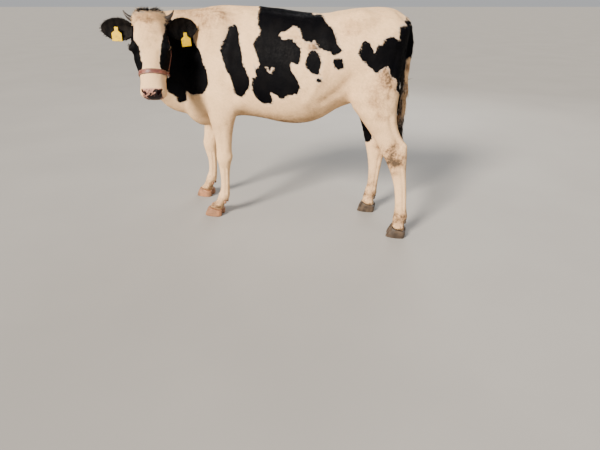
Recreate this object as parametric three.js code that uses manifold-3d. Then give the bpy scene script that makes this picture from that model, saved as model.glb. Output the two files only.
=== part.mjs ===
// A young Holstein cow, life size, standing square with its head turned to its left.
// Millimetres, +Z up. The cow faces -X and its left side is -Y; it stands on eight flat claws at Z = 0.
import * as THREE from 'three';
import { LoftGeometry } from 'three/addons/geometries/LoftGeometry.js';
import { mergeVertices } from 'three/addons/utils/BufferGeometryUtils.js';
import Module from 'manifold-3d';

const solids = await Module();
solids.setup();

// ---- Driving sizes -----------------------------------------------------------------------------
const GAP = 0.3; // clearance left between one named part and the next
const FINENESS = 0.1; // faces smaller than this are merged into their neighbours
const CENTRE = new THREE.Vector3(111, 130, 0); // moves the finished cow over the middle of its box

// Trunk stations: x, back line, belly line, half width, height of the widest point, roundness above, below
const TRUNK = [
  [-745, 900, 690, 55, 790, 2.0, 2.0],
  [-700, 1090, 628, 112, 830, 2.0, 2.0],
  [-625, 1262, 590, 160, 880, 1.9, 2.0],
  [-540, 1334, 606, 188, 900, 1.7, 2.1],
  [-440, 1344, 648, 200, 915, 1.7, 2.2],
  [-320, 1342, 678, 214, 925, 1.8, 2.3],
  [-180, 1334, 672, 240, 925, 2.0, 2.3],
  [-30, 1318, 652, 266, 925, 2.1, 2.3],
  [90, 1304, 656, 274, 930, 2.1, 2.3],
  [200, 1300, 690, 262, 950, 2.1, 2.3],
  [310, 1316, 760, 236, 1010, 2.1, 2.3],
  [420, 1328, 800, 214, 1090, 2.2, 2.3],
  [520, 1332, 812, 208, 1110, 2.2, 2.3],
  [610, 1322, 850, 188, 1110, 2.1, 2.2],
  [662, 1284, 930, 146, 1110, 2.0, 2.1],
  [690, 1236, 1010, 84, 1110, 2.0, 2.0],
];
const TRUNK_SIDES = 20;

// Bony points that stand out of the trunk: centre, radii
const BONES = [
  [[430, 116, 1262], [128, 96, 60]], // hook
  [[650, 66, 1196], [56, 78, 60]], // pin
  [[-590, 94, 930], [98, 86, 168]], // point of the shoulder
  [[-436, 112, 1076], [168, 72, 250]], // shoulder blade
];

// Neck stations: centre x y z, height above the centre, depth below it, half width, roundness
const NECK = [
  [-560, 0, 1010, 335, 350, 150, 2.1],
  [-665, -22, 1040, 298, 376, 128, 2.1],
  [-760, -70, 1072, 258, 350, 108, 2.1],
  [-822, -140, 1098, 224, 275, 98, 2.1],
  [-832, -215, 1122, 196, 212, 92, 2.1],
  [-808, -285, 1140, 172, 170, 86, 2.1],
  [-776, -340, 1150, 152, 140, 74, 2.1],
];
const NECK_SIDES = 14;

// The head is measured along its face: 0 at the poll, 485 at the lips
const POLL = new THREE.Vector3(-736, -355, 1318);
const FACING = new THREE.Vector3(0.34, -0.94, 0).normalize(); // level direction the forehead looks in
const FACE_TILT = 24; // degrees of the face line off the vertical
// Head stations: along the face, face line, depth of the widest point, jaw line, half width, round, round
const HEAD = [
  [-14, -48, -72, -96, 40, 2.0, 2.0],
  [4, -12, -68, -128, 74, 2.2, 2.0],
  [45, 3, -64, -158, 89, 2.4, 2.0],
  [95, 8, -64, -184, 93, 2.4, 2.0],
  [150, 8, -62, -206, 98, 2.4, 2.0],
  [195, 4, -62, -220, 102, 2.4, 2.1],
  [238, 0, -70, -220, 96, 2.3, 2.2],
  [285, -3, -76, -198, 85, 2.2, 2.3],
  [330, -4, -72, -166, 76, 2.3, 2.3],
  [375, -3, -66, -140, 72, 2.4, 2.3],
  [415, -1, -62, -126, 73, 2.4, 2.3],
  [446, -2, -60, -120, 75, 2.4, 2.3],
  [466, -14, -60, -112, 68, 2.3, 2.3],
  [480, -40, -66, -94, 42, 2.0, 2.0],
];
const HEAD_SIDES = 20;
const ORBIT = { along: 198, out: 82, deep: -36, radii: [36, 31, 31] };
const EYE = { along: 200, out: 98.5, deep: -31, radius: 17.5 };
const NOSTRIL = { along: 456, out: 38, deep: -12, radii: [13, 9, 12] };

// Horn: it leaves the side of the poll and turns up
const HORN = { along: 34, out: 74, deep: -56, length: 88, rise: 46, radius: 20, tip: 3 };

// Ear: length, width, thickness and dish of the shell, and where it leaves the head
const EAR = {
  along: 84, out: 88, deep: -82, length: 194, thick: 6, lift: 0.06, sweep: { left: 0.5, right: 0.1 },
};
// Ear stations: share of the length, half width, dish
const EAR_LEAF = [
  [0, 24, 18],
  [0.12, 37, 24],
  [0.28, 53, 26],
  [0.45, 60, 24],
  [0.62, 58, 20],
  [0.78, 49, 15],
  [0.91, 34, 9],
  [1, 13, 4],
];
const EAR_SIDES = 6;

// Leg stations: height, front, back, distance out from the middle line, half width
const LEFT_FORE = [
  [960, -560, -330, 118, 72],
  [860, -560, -290, 146, 72],
  [790, -545, -274, 162, 68],
  [720, -514, -310, 166, 60],
  [640, -492, -342, 166, 53],
  [540, -478, -362, 163, 45],
  [460, -477, -370, 161, 45],
  [415, -476, -372, 160, 47],
  [368, -469, -386, 160, 40],
  [290, -464, -397, 160, 31],
  [200, -470, -402, 160, 31],
  [160, -487, -406, 160, 37],
  [128, -500, -418, 160, 38],
  [92, -520, -444, 160, 34],
  [30, -566, -470, 160, 40],
];
const RIGHT_FORE = [
  [960, -580, -350, 118, 72],
  [860, -640, -340, 146, 72],
  [790, -664, -372, 156, 68],
  [720, -682, -430, 158, 60],
  [640, -696, -500, 158, 53],
  [540, -704, -566, 157, 46],
  [460, -714, -602, 156, 45],
  [405, -720, -614, 156, 47],
  [360, -713, -620, 156, 40],
  [284, -697, -628, 156, 31],
  [200, -702, -634, 156, 31],
  [160, -720, -640, 156, 37],
  [128, -732, -650, 156, 38],
  [92, -748, -674, 156, 34],
  [30, -778, -686, 156, 40],
];
const LEFT_HIND = [
  [1150, 430, 640, 96, 92],
  [1000, 396, 676, 112, 96],
  [900, 392, 682, 124, 94],
  [820, 400, 682, 134, 86],
  [745, 448, 682, 144, 72],
  [670, 512, 698, 156, 56],
  [615, 552, 730, 163, 47],
  [580, 578, 752, 168, 42],
  [530, 610, 760, 173, 41],
  [470, 642, 762, 176, 38],
  [400, 674, 768, 178, 33],
  [310, 700, 780, 178, 30],
  [210, 712, 789, 178, 31],
  [165, 712, 796, 178, 38],
  [130, 709, 798, 178, 39],
  [95, 706, 788, 178, 35],
  [30, 700, 794, 178, 42],
];
const RIGHT_HIND = [
  [1150, 430, 640, 96, 92],
  [1000, 392, 670, 112, 96],
  [900, 380, 660, 124, 94],
  [820, 376, 640, 134, 86],
  [745, 392, 622, 144, 72],
  [670, 418, 616, 156, 56],
  [615, 436, 630, 163, 47],
  [575, 446, 646, 168, 42],
  [530, 458, 646, 172, 41],
  [470, 472, 628, 175, 38],
  [400, 488, 600, 176, 34],
  [310, 500, 586, 176, 30],
  [210, 500, 576, 176, 31],
  [165, 490, 574, 176, 38],
  [130, 482, 570, 176, 39],
  [95, 474, 558, 176, 35],
  [30, 468, 562, 176, 42],
];
const LEG_SIDES = 12;
// side: -1 left, +1 right; top: height at which the leg parts from the trunk; joint: knee or hock
const LEGS = {
  left_fore: { rows: LEFT_FORE, side: -1, top: 800, joint: 392 },
  right_fore: { rows: RIGHT_FORE, side: 1, top: 800, joint: 384 },
  left_hind: { rows: LEFT_HIND, side: -1, top: 830, joint: 545 },
  right_hind: { rows: RIGHT_HIND, side: 1, top: 830, joint: 545 },
};

// One claw of a hoof: height, toe and heel measured from the middle of the foot, half width
const CLAW = [
  [0, -73, 50, 27],
  [24, -66, 53, 28.5],
  [54, -50, 53, 28],
  [86, -30, 46, 25],
];
const CLAW_SPREAD = 29.5; // centre of a claw from the middle of the foot
const CORONET = { front: 72, back: 44 }; // height of the hair line at the toe and at the heel
const DEWCLAW = { z: 106, behind: -3, spread: 20, radii: [11, 12, 15] };

// Tail: x, y, z, half thickness
const TAIL_DOCK = [
  [630, 0, 1270, 28],
  [668, 0, 1256, 31],
  [690, -3, 1200, 28],
  [698, -5, 1100, 23],
  [694, -7, 970, 18],
  [690, -8, 850, 16],
  [690, -8, 770, 16],
];
const TAIL_SWITCH = [
  [690, -8, 769.7, 15.7],
  [691, -8, 720, 22],
  [694, -8, 650, 31],
  [698, -8, 590, 27],
  [700, -8, 540, 9],
];
const TAIL_SIDES = 8;

// Halter and ear tags
const STRAP = { thick: 4, lift: 0.35 };
const NOSEBAND = { from: 322, to: 350 };
const CROWN = { top: [20, -130], foot: [330, -98], width: 17, end: 318 };
const RING = { along: 332, deep: -100, out: 86, radius: 16, wire: 3 };
const TAG = { width: 57, height: 76, neck: 20, thick: 2.4, stud: 12 };
// Where the pin goes through the ear: share of its length, share of its half width upwards
const TAG_PLACE = { left: [0.53, -0.5], right: [0.55, 0.08] };

// ---- Small helpers ------------------------------------------------------------------------------
const vec = (x, y, z) => new THREE.Vector3(x, y, z);

/** Runs smoothly through a table of stations, with `cuts` steps in every span. */
function flow(rows, cuts) {
  const slope = (i, j) => {
    const a = rows[Math.max(i - 1, 0)];
    const b = rows[Math.min(i + 1, rows.length - 1)];
    return (b[j] - a[j]) / (Math.min(i + 1, rows.length - 1) - Math.max(i - 1, 0));
  };
  const out = [];
  for (let i = 0; i < rows.length - 1; i++) {
    for (let k = 0; k < cuts; k++) {
      const t = k / cuts;
      out.push(rows[i].map((v, j) => {
        const blend = 3 * t * t - 2 * t ** 3;
        const bend = (t ** 3 - 2 * t * t + t) * slope(i, j) + (t ** 3 - t * t) * slope(i + 1, j);
        return (1 - blend) * v + blend * rows[i + 1][j] + bend;
      }));
    }
  }
  out.push([...rows[rows.length - 1]]);
  return out;
}

/** One oval section: half width along u, `rise` and `fall` along v, roundness 2 is an ellipse. */
function oval(centre, u, v, half, rise, fall, roundUp, roundDown, sides) {
  const ring = [];
  for (let i = 0; i < sides; i++) {
    const a = (2 * Math.PI * (i + 0.5)) / sides;
    const c = Math.cos(a);
    const s = Math.sin(a);
    const power = 2 / (s >= 0 ? roundUp : roundDown);
    const across = Math.sign(c) * Math.abs(c) ** power * half;
    const along = Math.sign(s) * Math.abs(s) ** power * (s >= 0 ? rise : fall);
    ring.push(centre.clone().addScaledVector(u, across).addScaledVector(v, along));
  }
  return ring;
}

/** A closed surface as a solid that can be joined and cut. */
function solidOf(geometry) {
  const bare = new THREE.BufferGeometry();
  bare.setAttribute('position', geometry.attributes.position);
  bare.setIndex(geometry.index);
  const merged = mergeVertices(bare, 1e-4);
  const mesh = new solids.Mesh({
    numProp: 3,
    vertProperties: new Float32Array(merged.attributes.position.array),
    triVerts: new Uint32Array(merged.index.array),
  });
  return new solids.Manifold(mesh);
}

/** A closed solid lofted through sections. */
function loft(sections) {
  return solidOf(new LoftGeometry(sections, { closed: true, capStart: true, capEnd: true }));
}

const ball = (centre, radii, wide = 10, high = 6) => {
  const geometry = new THREE.SphereGeometry(1, wide, high);
  geometry.scale(...radii);
  geometry.translate(centre.x, centre.y, centre.z);
  return solidOf(geometry);
};

const union = (parts) => parts.reduce((a, b) => a.add(b));

/** Keeps the largest piece of a solid, so a cut leaves no crumbs, and drops needless small faces. */
function whole(solid) {
  return solid.decompose().sort((a, b) => b.volume() - a.volume())[0].simplify(FINENESS);
}

// ---- Body shapes, each able to grow outwards by a clearance --------------------------------------
function trunkShape(grow = 0) {
  const Y = vec(0, 1, 0);
  const Z = vec(0, 0, 1);
  const rings = TRUNK.map(([x, top, low, half, wide, up, down]) =>
    oval(vec(x, 0, wide), Y, Z, half + grow, top - wide + grow, wide - low + grow, up, down, TRUNK_SIDES));
  rings[0].forEach((p) => { p.x -= grow; });
  rings[rings.length - 1].forEach((p) => { p.x += grow; });
  const bumps = BONES.flatMap(([[x, y, z], radii]) =>
    [-1, 1].map((side) => ball(vec(x, side * y, z), radii.map((r) => r + grow))));
  return union([loft(rings), ...bumps]);
}

function legShape({ rows, side }, grow = 0) {
  const rings = rows.map(([z, front, back, y, half]) =>
    oval(vec((front + back) / 2, side * y, z), vec(0, -1, 0), vec(-1, 0, 0), half + grow,
      (back - front) / 2 + grow, (back - front) / 2 + grow, 2.1, 2.1, LEG_SIDES));
  return loft(rings);
}

function pathRings(rows, sides, grow = 0, up = vec(0, 0, 1)) {
  return rows.map((row, i) => {
    const before = rows[Math.max(i - 1, 0)];
    const after = rows[Math.min(i + 1, rows.length - 1)];
    const along = vec(after[0] - before[0], after[1] - before[1], after[2] - before[2]).normalize();
    const v = up.clone().addScaledVector(along, -up.dot(along)).normalize();
    const u = v.clone().cross(along);
    const [x, y, z, rise, fall, half, round] = row;
    return oval(vec(x, y, z), u, v, half + grow, rise + grow, fall + grow, round, round, sides);
  });
}

const neckShape = (grow = 0) => loft(pathRings(flow(NECK, 2), NECK_SIDES, grow));

// Head frame: along the face, out to the cow's left, and forward off the forehead
const tilt = THREE.MathUtils.degToRad(FACE_TILT);
const ALONG = FACING.clone().multiplyScalar(Math.sin(tilt)).addScaledVector(vec(0, 0, 1), -Math.cos(tilt));
const AHEAD = FACING.clone().multiplyScalar(Math.cos(tilt)).addScaledVector(vec(0, 0, 1), Math.sin(tilt));
const LEFT = AHEAD.clone().cross(ALONG);
const onHead = (along, out, deep) =>
  POLL.clone().addScaledVector(ALONG, along).addScaledVector(LEFT, out).addScaledVector(AHEAD, deep);
/** Turns a shape drawn with x along the face, y to the left and z ahead into its place on the head. */
const headMatrix = (origin) => new THREE.Matrix4().makeBasis(ALONG, LEFT, AHEAD).setPosition(origin);

function headRings(rows, grow) {
  return rows.map(([s, face, wide, jaw, half, up, down]) =>
    oval(onHead(s, 0, wide), LEFT, AHEAD, half + grow,
      face - wide + grow, wide - jaw + grow, up, down, HEAD_SIDES));
}

function headBall(spec, side, extra = 0, wide = 10, high = 6) {
  const geometry = new THREE.SphereGeometry(1, wide, high);
  geometry.scale(...spec.radii.map((r) => r + extra));
  geometry.applyMatrix4(headMatrix(onHead(spec.along, side * spec.out, spec.deep)));
  return solidOf(geometry);
}

function headShape(grow = 0) {
  const rings = headRings(HEAD, grow);
  const sockets = [-1, 1].map((side) => headBall(ORBIT, side, grow));
  return union([loft(rings), ...sockets]);
}

// ---- Ears, horns, hooves, tail --------------------------------------------------------------------
/** A leaf-shaped shell, dished towards the front, running out to the side of the head. */
function earShape(side) {
  const sweep = side > 0 ? EAR.sweep.left : EAR.sweep.right;
  const reach = LEFT.clone().multiplyScalar(side).addScaledVector(FACING, -sweep)
    .add(vec(0, 0, EAR.lift)).normalize();
  const down = vec(0, 0, -1).addScaledVector(reach, reach.z).normalize();
  const front = reach.clone().cross(down).multiplyScalar(-side).normalize();
  const base = onHead(EAR.along, side * EAR.out, EAR.deep);
  const rings = [];
  for (const [t, half, dish] of EAR_LEAF) {
    const centre = base.clone().addScaledVector(reach, t * EAR.length);
    const ring = [];
    for (let k = 0; k <= EAR_SIDES; k++) {
      const w = -1 + (2 * k) / EAR_SIDES;
      ring.push(centre.clone().addScaledVector(down, w * half)
        .addScaledVector(front, -dish * (1 - w * w) - EAR.thick / 2));
    }
    for (let k = EAR_SIDES; k >= 0; k--) {
      const w = (-1 + (2 * k) / EAR_SIDES) * 0.96;
      ring.push(centre.clone().addScaledVector(down, w * half)
        .addScaledVector(front, -dish * (1 - w * w) + EAR.thick / 2));
    }
    rings.push(side > 0 ? ring.reverse() : ring);
  }
  return { solid: loft(rings), base, reach, down, front };
}

function hornShape(side, grow = 0) {
  const rows = [];
  for (let i = 0; i <= 5; i++) {
    const t = i / 5;
    const out = HORN.out + HORN.length * t * (1 - 0.25 * t);
    const p = onHead(HORN.along - HORN.rise * t * t, side * out, HORN.deep + 14 * t);
    const r = HORN.radius + (HORN.tip - HORN.radius) * t ** 1.3;
    rows.push([p.x, p.y, p.z, r, r, r, 2]);
  }
  return loft(pathRings(rows, 8, grow));
}

/** The foot under a leg: its claws and dewclaws, and the slope of the hair line above them. */
function footShapes({ rows, side }) {
  const [, front, back, y] = rows[rows.length - 1];
  const middle = side * y;
  const span = CORONET.front - CORONET.back;
  const run = back - front;
  const slope = vec(-span / run, 0, -1).normalize(); // points down and forward under the hair line
  const level = -(slope.x * (front + run / 2) + slope.z * ((CORONET.front + CORONET.back) / 2));
  const claws = [-1, 1].map((s) => {
    const rings = CLAW.map(([z, toe, heel, half]) => {
      const centre = vec((front + back + toe + heel) / 2, middle + s * CLAW_SPREAD, z);
      const long = (heel - toe) / 2;
      return oval(centre, vec(0, 1, 0), vec(-1, 0, 0), half, long, long, 2.2, 2.7, LEG_SIDES);
    });
    return loft(rings).trimByPlane(slope.toArray(), -level + GAP);
  });
  const [low, high] = [rows[rows.length - 2], rows[rows.length - 3]];
  const heel = low[2] + ((high[2] - low[2]) * (DEWCLAW.z - low[0])) / (high[0] - low[0]);
  return { claws, slope, level, middle, heel };
}

function tailShape(rows, cuts) {
  const stations = flow(rows, cuts).map(([x, y, z, r]) => [x, y, z, r, r, r * 1.05, 2]);
  return loft(pathRings(stations, TAIL_SIDES, 0, vec(1, 0, 0)));
}

// ---- Halter and tags --------------------------------------------------------------------------------
/** A slab through the head, holding the line between two points given as [along, deep]. */
function headSlab(a, b, width) {
  const from = onHead(a[0], 0, a[1]);
  const to = onHead(b[0], 0, b[1]);
  const x = to.clone().sub(from).normalize();
  const geometry = new THREE.BoxGeometry(from.distanceTo(to) + 400, 600, width);
  const z = x.clone().cross(LEFT).normalize();
  const middle = from.clone().add(to).multiplyScalar(0.5);
  geometry.applyMatrix4(new THREE.Matrix4().makeBasis(x, LEFT, z).setPosition(middle));
  return solidOf(geometry);
}

/** Keeps what lies between two distances along the face. */
function between(solid, from, to) {
  const zero = ALONG.dot(POLL);
  return solid.trimByPlane(ALONG.toArray(), zero + from)
    .trimByPlane(ALONG.clone().negate().toArray(), -zero - to);
}

function ringShape(side) {
  const geometry = new THREE.TorusGeometry(RING.radius, RING.wire, 6, 12);
  geometry.rotateX(Math.PI / 2);
  geometry.applyMatrix4(headMatrix(onHead(RING.along, side * RING.out, RING.deep)));
  return solidOf(geometry);
}

/** An ear tag hanging in front of the ear on its pin, and the stud that holds it behind. */
function tagShapes(ear, side) {
  const outline = new THREE.Shape();
  const [w, n] = [TAG.width / 2, TAG.neck / 2];
  const corners = [[-w, 8 - TAG.height], [w, 8 - TAG.height], [w, -26], [n, -12],
    [n, 8], [-n, 8], [-n, -12], [-w, -26]];
  corners.forEach(([x, y], i) => (i ? outline.lineTo(x, y) : outline.moveTo(x, y)));
  outline.closePath();
  const [share, above] = side > 0 ? TAG_PLACE.left : TAG_PLACE.right;
  const pin = ear.base.clone().addScaledVector(ear.reach, share * EAR.length)
    .addScaledVector(ear.down, -above * EAR_LEAF[4][1]);
  const across = ear.reach.clone().multiplyScalar(side);
  const frame = new THREE.Matrix4().makeBasis(across, ear.down.clone().negate(), ear.front);
  const dish = EAR_LEAF[4][2] * (1 - above * above);
  const lift = EAR.thick / 2 + 4;
  const plate = new THREE.ExtrudeGeometry(outline, { depth: TAG.thick, bevelEnabled: false });
  plate.applyMatrix4(frame.clone().setPosition(pin.clone().addScaledVector(ear.front, lift)));
  const rod = (radius, long, from) => {
    const geometry = new THREE.CylinderGeometry(radius, radius, long, 12);
    geometry.rotateX(Math.PI / 2);
    const middle = pin.clone().addScaledVector(ear.front, from + long / 2);
    geometry.applyMatrix4(frame.clone().setPosition(middle));
    return solidOf(geometry);
  };
  const shank = rod(4, lift + dish + 6, -dish - 4);
  return { plate: solidOf(plate).add(shank), stud: rod(TAG.stud, 9, -dish - 14) };
}

// ---- Putting the cow together -------------------------------------------------------------------------
const COLOURS = {
  coat: [0xe9d9c4, 0.9], horn: [0x2b2624, 0.5], hoof: [0x3a322c, 0.6], eye: [0x14100e, 0.1],
  leather: [0x8a4b3c, 0.6], metal: [0xb8b8b4, 0.35], tag: [0xf2cf2e, 0.5],
};

function material(kind) {
  const [color, roughness] = COLOURS[kind];
  const metalness = kind === 'metal' ? 1 : 0;
  return new THREE.MeshStandardMaterial({ color, roughness, metalness, name: kind });
}

const cow = new THREE.Group();
cow.name = 'cow';
const add = (name, solid, kind) => {
  const mesh = solid.getMesh();
  const geometry = new THREE.BufferGeometry();
  geometry.setAttribute('position', new THREE.Float32BufferAttribute(mesh.vertProperties, 3));
  geometry.setIndex([...mesh.triVerts]);
  geometry.translate(CENTRE.x, CENTRE.y, CENTRE.z);
  geometry.computeVertexNormals();
  const part = new THREE.Mesh(geometry, material(kind));
  part.name = name;
  cow.add(part);
};

// Flesh: the legs stand in sockets of the trunk, so the whole body keeps one outline
let trunk = union([trunkShape(), ...Object.values(LEGS).map((leg) => legShape(leg))]);
const trunkGrown = union([trunkShape(GAP), legShape(LEGS.left_fore, GAP), legShape(LEGS.right_fore, GAP)]);
for (const [name, leg] of Object.entries(LEGS)) {
  const foot = footShapes(leg);
  trunk = trunk.subtract(legShape(leg, GAP).trimByPlane([0, 0, -1], -leg.top));
  const limb = legShape(leg).trimByPlane([0, 0, -1], GAP - leg.top);
  const lower = limb.trimByPlane([0, 0, -1], -leg.joint)
    .trimByPlane(foot.slope.clone().negate().toArray(), foot.level);
  add(`${name}_upper`, limb.trimByPlane([0, 0, 1], leg.joint + GAP), 'coat');
  add(`${name}_cannon`, lower, 'coat');
  for (const [i, s] of [['a', -1], ['b', 1]]) {
    const at = vec(foot.heel + DEWCLAW.behind, foot.middle + s * DEWCLAW.spread, DEWCLAW.z);
    add(`${name}_claw_${i}`, foot.claws[i === 'a' ? 0 : 1], 'hoof');
    add(`${name}_dewclaw_${i}`, whole(ball(at, DEWCLAW.radii, 6, 4).subtract(legShape(leg, GAP))), 'hoof');
  }
}

const ears = { left: earShape(1), right: earShape(-1) };
const headGrown = headShape(GAP);
const hornsGrown = union([hornShape(1, GAP), hornShape(-1, GAP)]);
add('trunk', whole(trunk), 'coat');
add('neck', whole(neckShape().subtract(union([trunkGrown, headGrown, hornsGrown]))), 'coat');
add('tail_dock', whole(tailShape(TAIL_DOCK, 1).subtract(trunkShape(GAP))), 'coat');
add('tail_switch', tailShape(TAIL_SWITCH, 1), 'coat');

// Halter: slices of a strap-thick shell over the head and neck
const under = union([headShape(STRAP.lift), neckShape(STRAP.lift)]);
const over = union([headShape(STRAP.lift + STRAP.thick), neckShape(STRAP.lift + STRAP.thick)]);
const crown = between(over.intersect(headSlab(CROWN.top, CROWN.foot, CROWN.width)), -400, CROWN.end);
const noseband = between(headShape(STRAP.lift + STRAP.thick), NOSEBAND.from, NOSEBAND.to);
const clear = union([under, ears.left.solid, ears.right.solid, trunkGrown]);
add('crown_strap', whole(crown.subtract(clear)), 'leather');
add('noseband', whole(noseband.subtract(headShape(STRAP.lift))), 'leather');

// Head and what stands on it
let skull = headShape();
for (const side of [1, -1]) {
  const name = side > 0 ? 'left' : 'right';
  const eye = { ...EYE, radii: [EYE.radius, EYE.radius, EYE.radius] };
  skull = skull.subtract(headBall(eye, side, GAP)).subtract(headBall(NOSTRIL, side, 0, 8, 6));
  const tag = tagShapes(ears[name], side);
  const ear = ears[name].solid.subtract(union([headGrown, neckShape(GAP), trunkGrown]));
  add(`${name}_eye`, headBall(eye, side), 'eye');
  add(`${name}_horn`, whole(hornShape(side).subtract(headGrown)), 'horn');
  add(`${name}_ear`, whole(ear), 'coat');
  add(`${name}_tag`, whole(tag.plate.subtract(ears[name].solid)), 'tag');
  add(`${name}_tag_stud`, whole(tag.stud.subtract(ears[name].solid)), 'tag');
  add(`${name}_ring`, ringShape(side), 'metal');
}
add('head', whole(skull), 'coat');

export default cow;
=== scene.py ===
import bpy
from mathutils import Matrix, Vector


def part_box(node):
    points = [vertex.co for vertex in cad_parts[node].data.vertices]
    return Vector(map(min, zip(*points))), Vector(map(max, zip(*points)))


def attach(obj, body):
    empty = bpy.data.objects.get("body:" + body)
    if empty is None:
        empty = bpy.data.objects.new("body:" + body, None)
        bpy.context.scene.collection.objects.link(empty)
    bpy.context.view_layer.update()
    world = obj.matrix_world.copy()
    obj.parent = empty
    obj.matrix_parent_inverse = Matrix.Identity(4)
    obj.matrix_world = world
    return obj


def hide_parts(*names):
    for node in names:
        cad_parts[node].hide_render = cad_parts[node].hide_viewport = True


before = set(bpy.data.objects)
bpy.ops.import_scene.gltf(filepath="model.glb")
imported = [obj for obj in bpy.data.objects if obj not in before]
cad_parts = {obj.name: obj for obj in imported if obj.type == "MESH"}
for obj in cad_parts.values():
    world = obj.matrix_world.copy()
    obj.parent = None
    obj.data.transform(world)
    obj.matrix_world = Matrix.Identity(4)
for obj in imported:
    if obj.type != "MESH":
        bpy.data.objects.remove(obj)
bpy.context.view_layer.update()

import math
from contextlib import contextmanager

import bmesh
import bpy
import numpy as np
from bpy.props import FloatProperty, FloatVectorProperty, IntProperty, PointerProperty
from mathutils import Vector
from mathutils.bvhtree import BVHTree

bl_info = {
    "name": "Young Holstein cow",
    "version": (1, 0, 0),
    "blender": (4, 5, 0),
    "location": "View3D > Sidebar > Cow",
    "description": "Dresses a life-size Holstein heifer with skin, coat, hooves, eyes and halter",
    "category": "Add Mesh",
}

# ---- Body tables, in millimetres: the cow faces -X and its left side is -Y
SHIFT = np.array([111.0, 130.0, 0.0])  # from these tables to the middle of the model's box
UP = np.array([0.0, 0.0, 1.0])
MERGE = 1e-6  # metres between corners that are taken as one
FAR = 1e9  # millimetres, past any distance on the body

# Trunk stations: x, back line, belly line, half width, height of the widest point, roundness above, below
TRUNK = [
    [-745, 900, 690, 55, 790, 2.0, 2.0], [-700, 1090, 628, 112, 830, 2.0, 2.0],
    [-625, 1262, 590, 160, 880, 1.9, 2.0], [-540, 1334, 606, 188, 900, 1.7, 2.1],
    [-440, 1344, 648, 200, 915, 1.7, 2.2], [-320, 1342, 678, 214, 925, 1.8, 2.3],
    [-180, 1334, 672, 240, 925, 2.0, 2.3], [-30, 1318, 652, 266, 925, 2.1, 2.3],
    [90, 1304, 656, 274, 930, 2.1, 2.3], [200, 1300, 690, 262, 950, 2.1, 2.3],
    [310, 1316, 760, 236, 1010, 2.1, 2.3], [420, 1328, 800, 214, 1090, 2.2, 2.3],
    [520, 1332, 812, 208, 1110, 2.2, 2.3], [610, 1322, 850, 188, 1110, 2.1, 2.2],
    [662, 1284, 930, 146, 1110, 2.0, 2.1], [690, 1236, 1010, 84, 1110, 2.0, 2.0],
]
# Bony points, on both sides: centre, radii
BONES = [
    [[430, 116, 1262], [128, 96, 60]],  # hook
    [[650, 66, 1196], [56, 78, 60]],  # pin
    [[-590, 94, 930], [98, 86, 168]],  # point of the shoulder
    [[-436, 112, 1076], [168, 72, 250]],  # shoulder blade
]
# Neck stations: centre x y z, height above it, depth below it, half width, roundness
NECK = [
    [-560, 0, 1010, 335, 350, 150, 2.1], [-665, -22, 1040, 298, 376, 128, 2.1],
    [-760, -70, 1072, 258, 350, 108, 2.1], [-822, -140, 1098, 224, 275, 98, 2.1],
    [-832, -215, 1122, 196, 212, 92, 2.1], [-808, -285, 1140, 172, 170, 86, 2.1],
    [-776, -340, 1150, 152, 140, 74, 2.1],
]
# Head stations: along the face, face line, depth of the widest point, jaw line, half width, round, round
HEAD = [
    [-14, -48, -72, -96, 40, 2.0, 2.0], [4, -12, -68, -128, 74, 2.2, 2.0],
    [45, 3, -64, -158, 89, 2.4, 2.0], [95, 8, -64, -184, 93, 2.4, 2.0],
    [150, 8, -62, -206, 98, 2.4, 2.0], [195, 4, -62, -220, 102, 2.4, 2.1],
    [238, 0, -70, -220, 96, 2.3, 2.2], [285, -3, -76, -198, 85, 2.2, 2.3],
    [330, -4, -72, -166, 76, 2.3, 2.3], [375, -3, -66, -140, 72, 2.4, 2.3],
    [415, -1, -62, -126, 73, 2.4, 2.3], [446, -2, -60, -120, 75, 2.4, 2.3],
    [466, -14, -60, -112, 68, 2.3, 2.3], [480, -40, -66, -94, 42, 2.0, 2.0],
]
# Leg stations: height, front, back, distance out from the middle line, half width
LEFT_FORE = [
    [960, -560, -330, 118, 72], [860, -560, -290, 146, 72], [790, -545, -274, 162, 68],
    [720, -514, -310, 166, 60], [640, -492, -342, 166, 53], [540, -478, -362, 163, 45],
    [460, -477, -370, 161, 45], [415, -476, -372, 160, 47], [368, -469, -386, 160, 40],
    [290, -464, -397, 160, 31], [200, -470, -402, 160, 31], [160, -487, -406, 160, 37],
    [128, -500, -418, 160, 38], [92, -520, -444, 160, 34], [30, -566, -470, 160, 40],
]
RIGHT_FORE = [
    [960, -580, -350, 118, 72], [860, -640, -340, 146, 72], [790, -664, -372, 156, 68],
    [720, -682, -430, 158, 60], [640, -696, -500, 158, 53], [540, -704, -566, 157, 46],
    [460, -714, -602, 156, 45], [405, -720, -614, 156, 47], [360, -713, -620, 156, 40],
    [284, -697, -628, 156, 31], [200, -702, -634, 156, 31], [160, -720, -640, 156, 37],
    [128, -732, -650, 156, 38], [92, -748, -674, 156, 34], [30, -778, -686, 156, 40],
]
LEFT_HIND = [
    [1150, 430, 640, 96, 92], [1000, 396, 676, 112, 96], [900, 392, 682, 124, 94],
    [820, 400, 682, 134, 86], [745, 448, 682, 144, 72], [670, 512, 698, 156, 56],
    [615, 552, 730, 163, 47], [580, 578, 752, 168, 42], [530, 610, 760, 173, 41],
    [470, 642, 762, 176, 38], [400, 674, 768, 178, 33], [310, 700, 780, 178, 30],
    [210, 712, 789, 178, 31], [165, 712, 796, 178, 38], [130, 709, 798, 178, 39],
    [95, 706, 788, 178, 35], [30, 700, 794, 178, 42],
]
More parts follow.
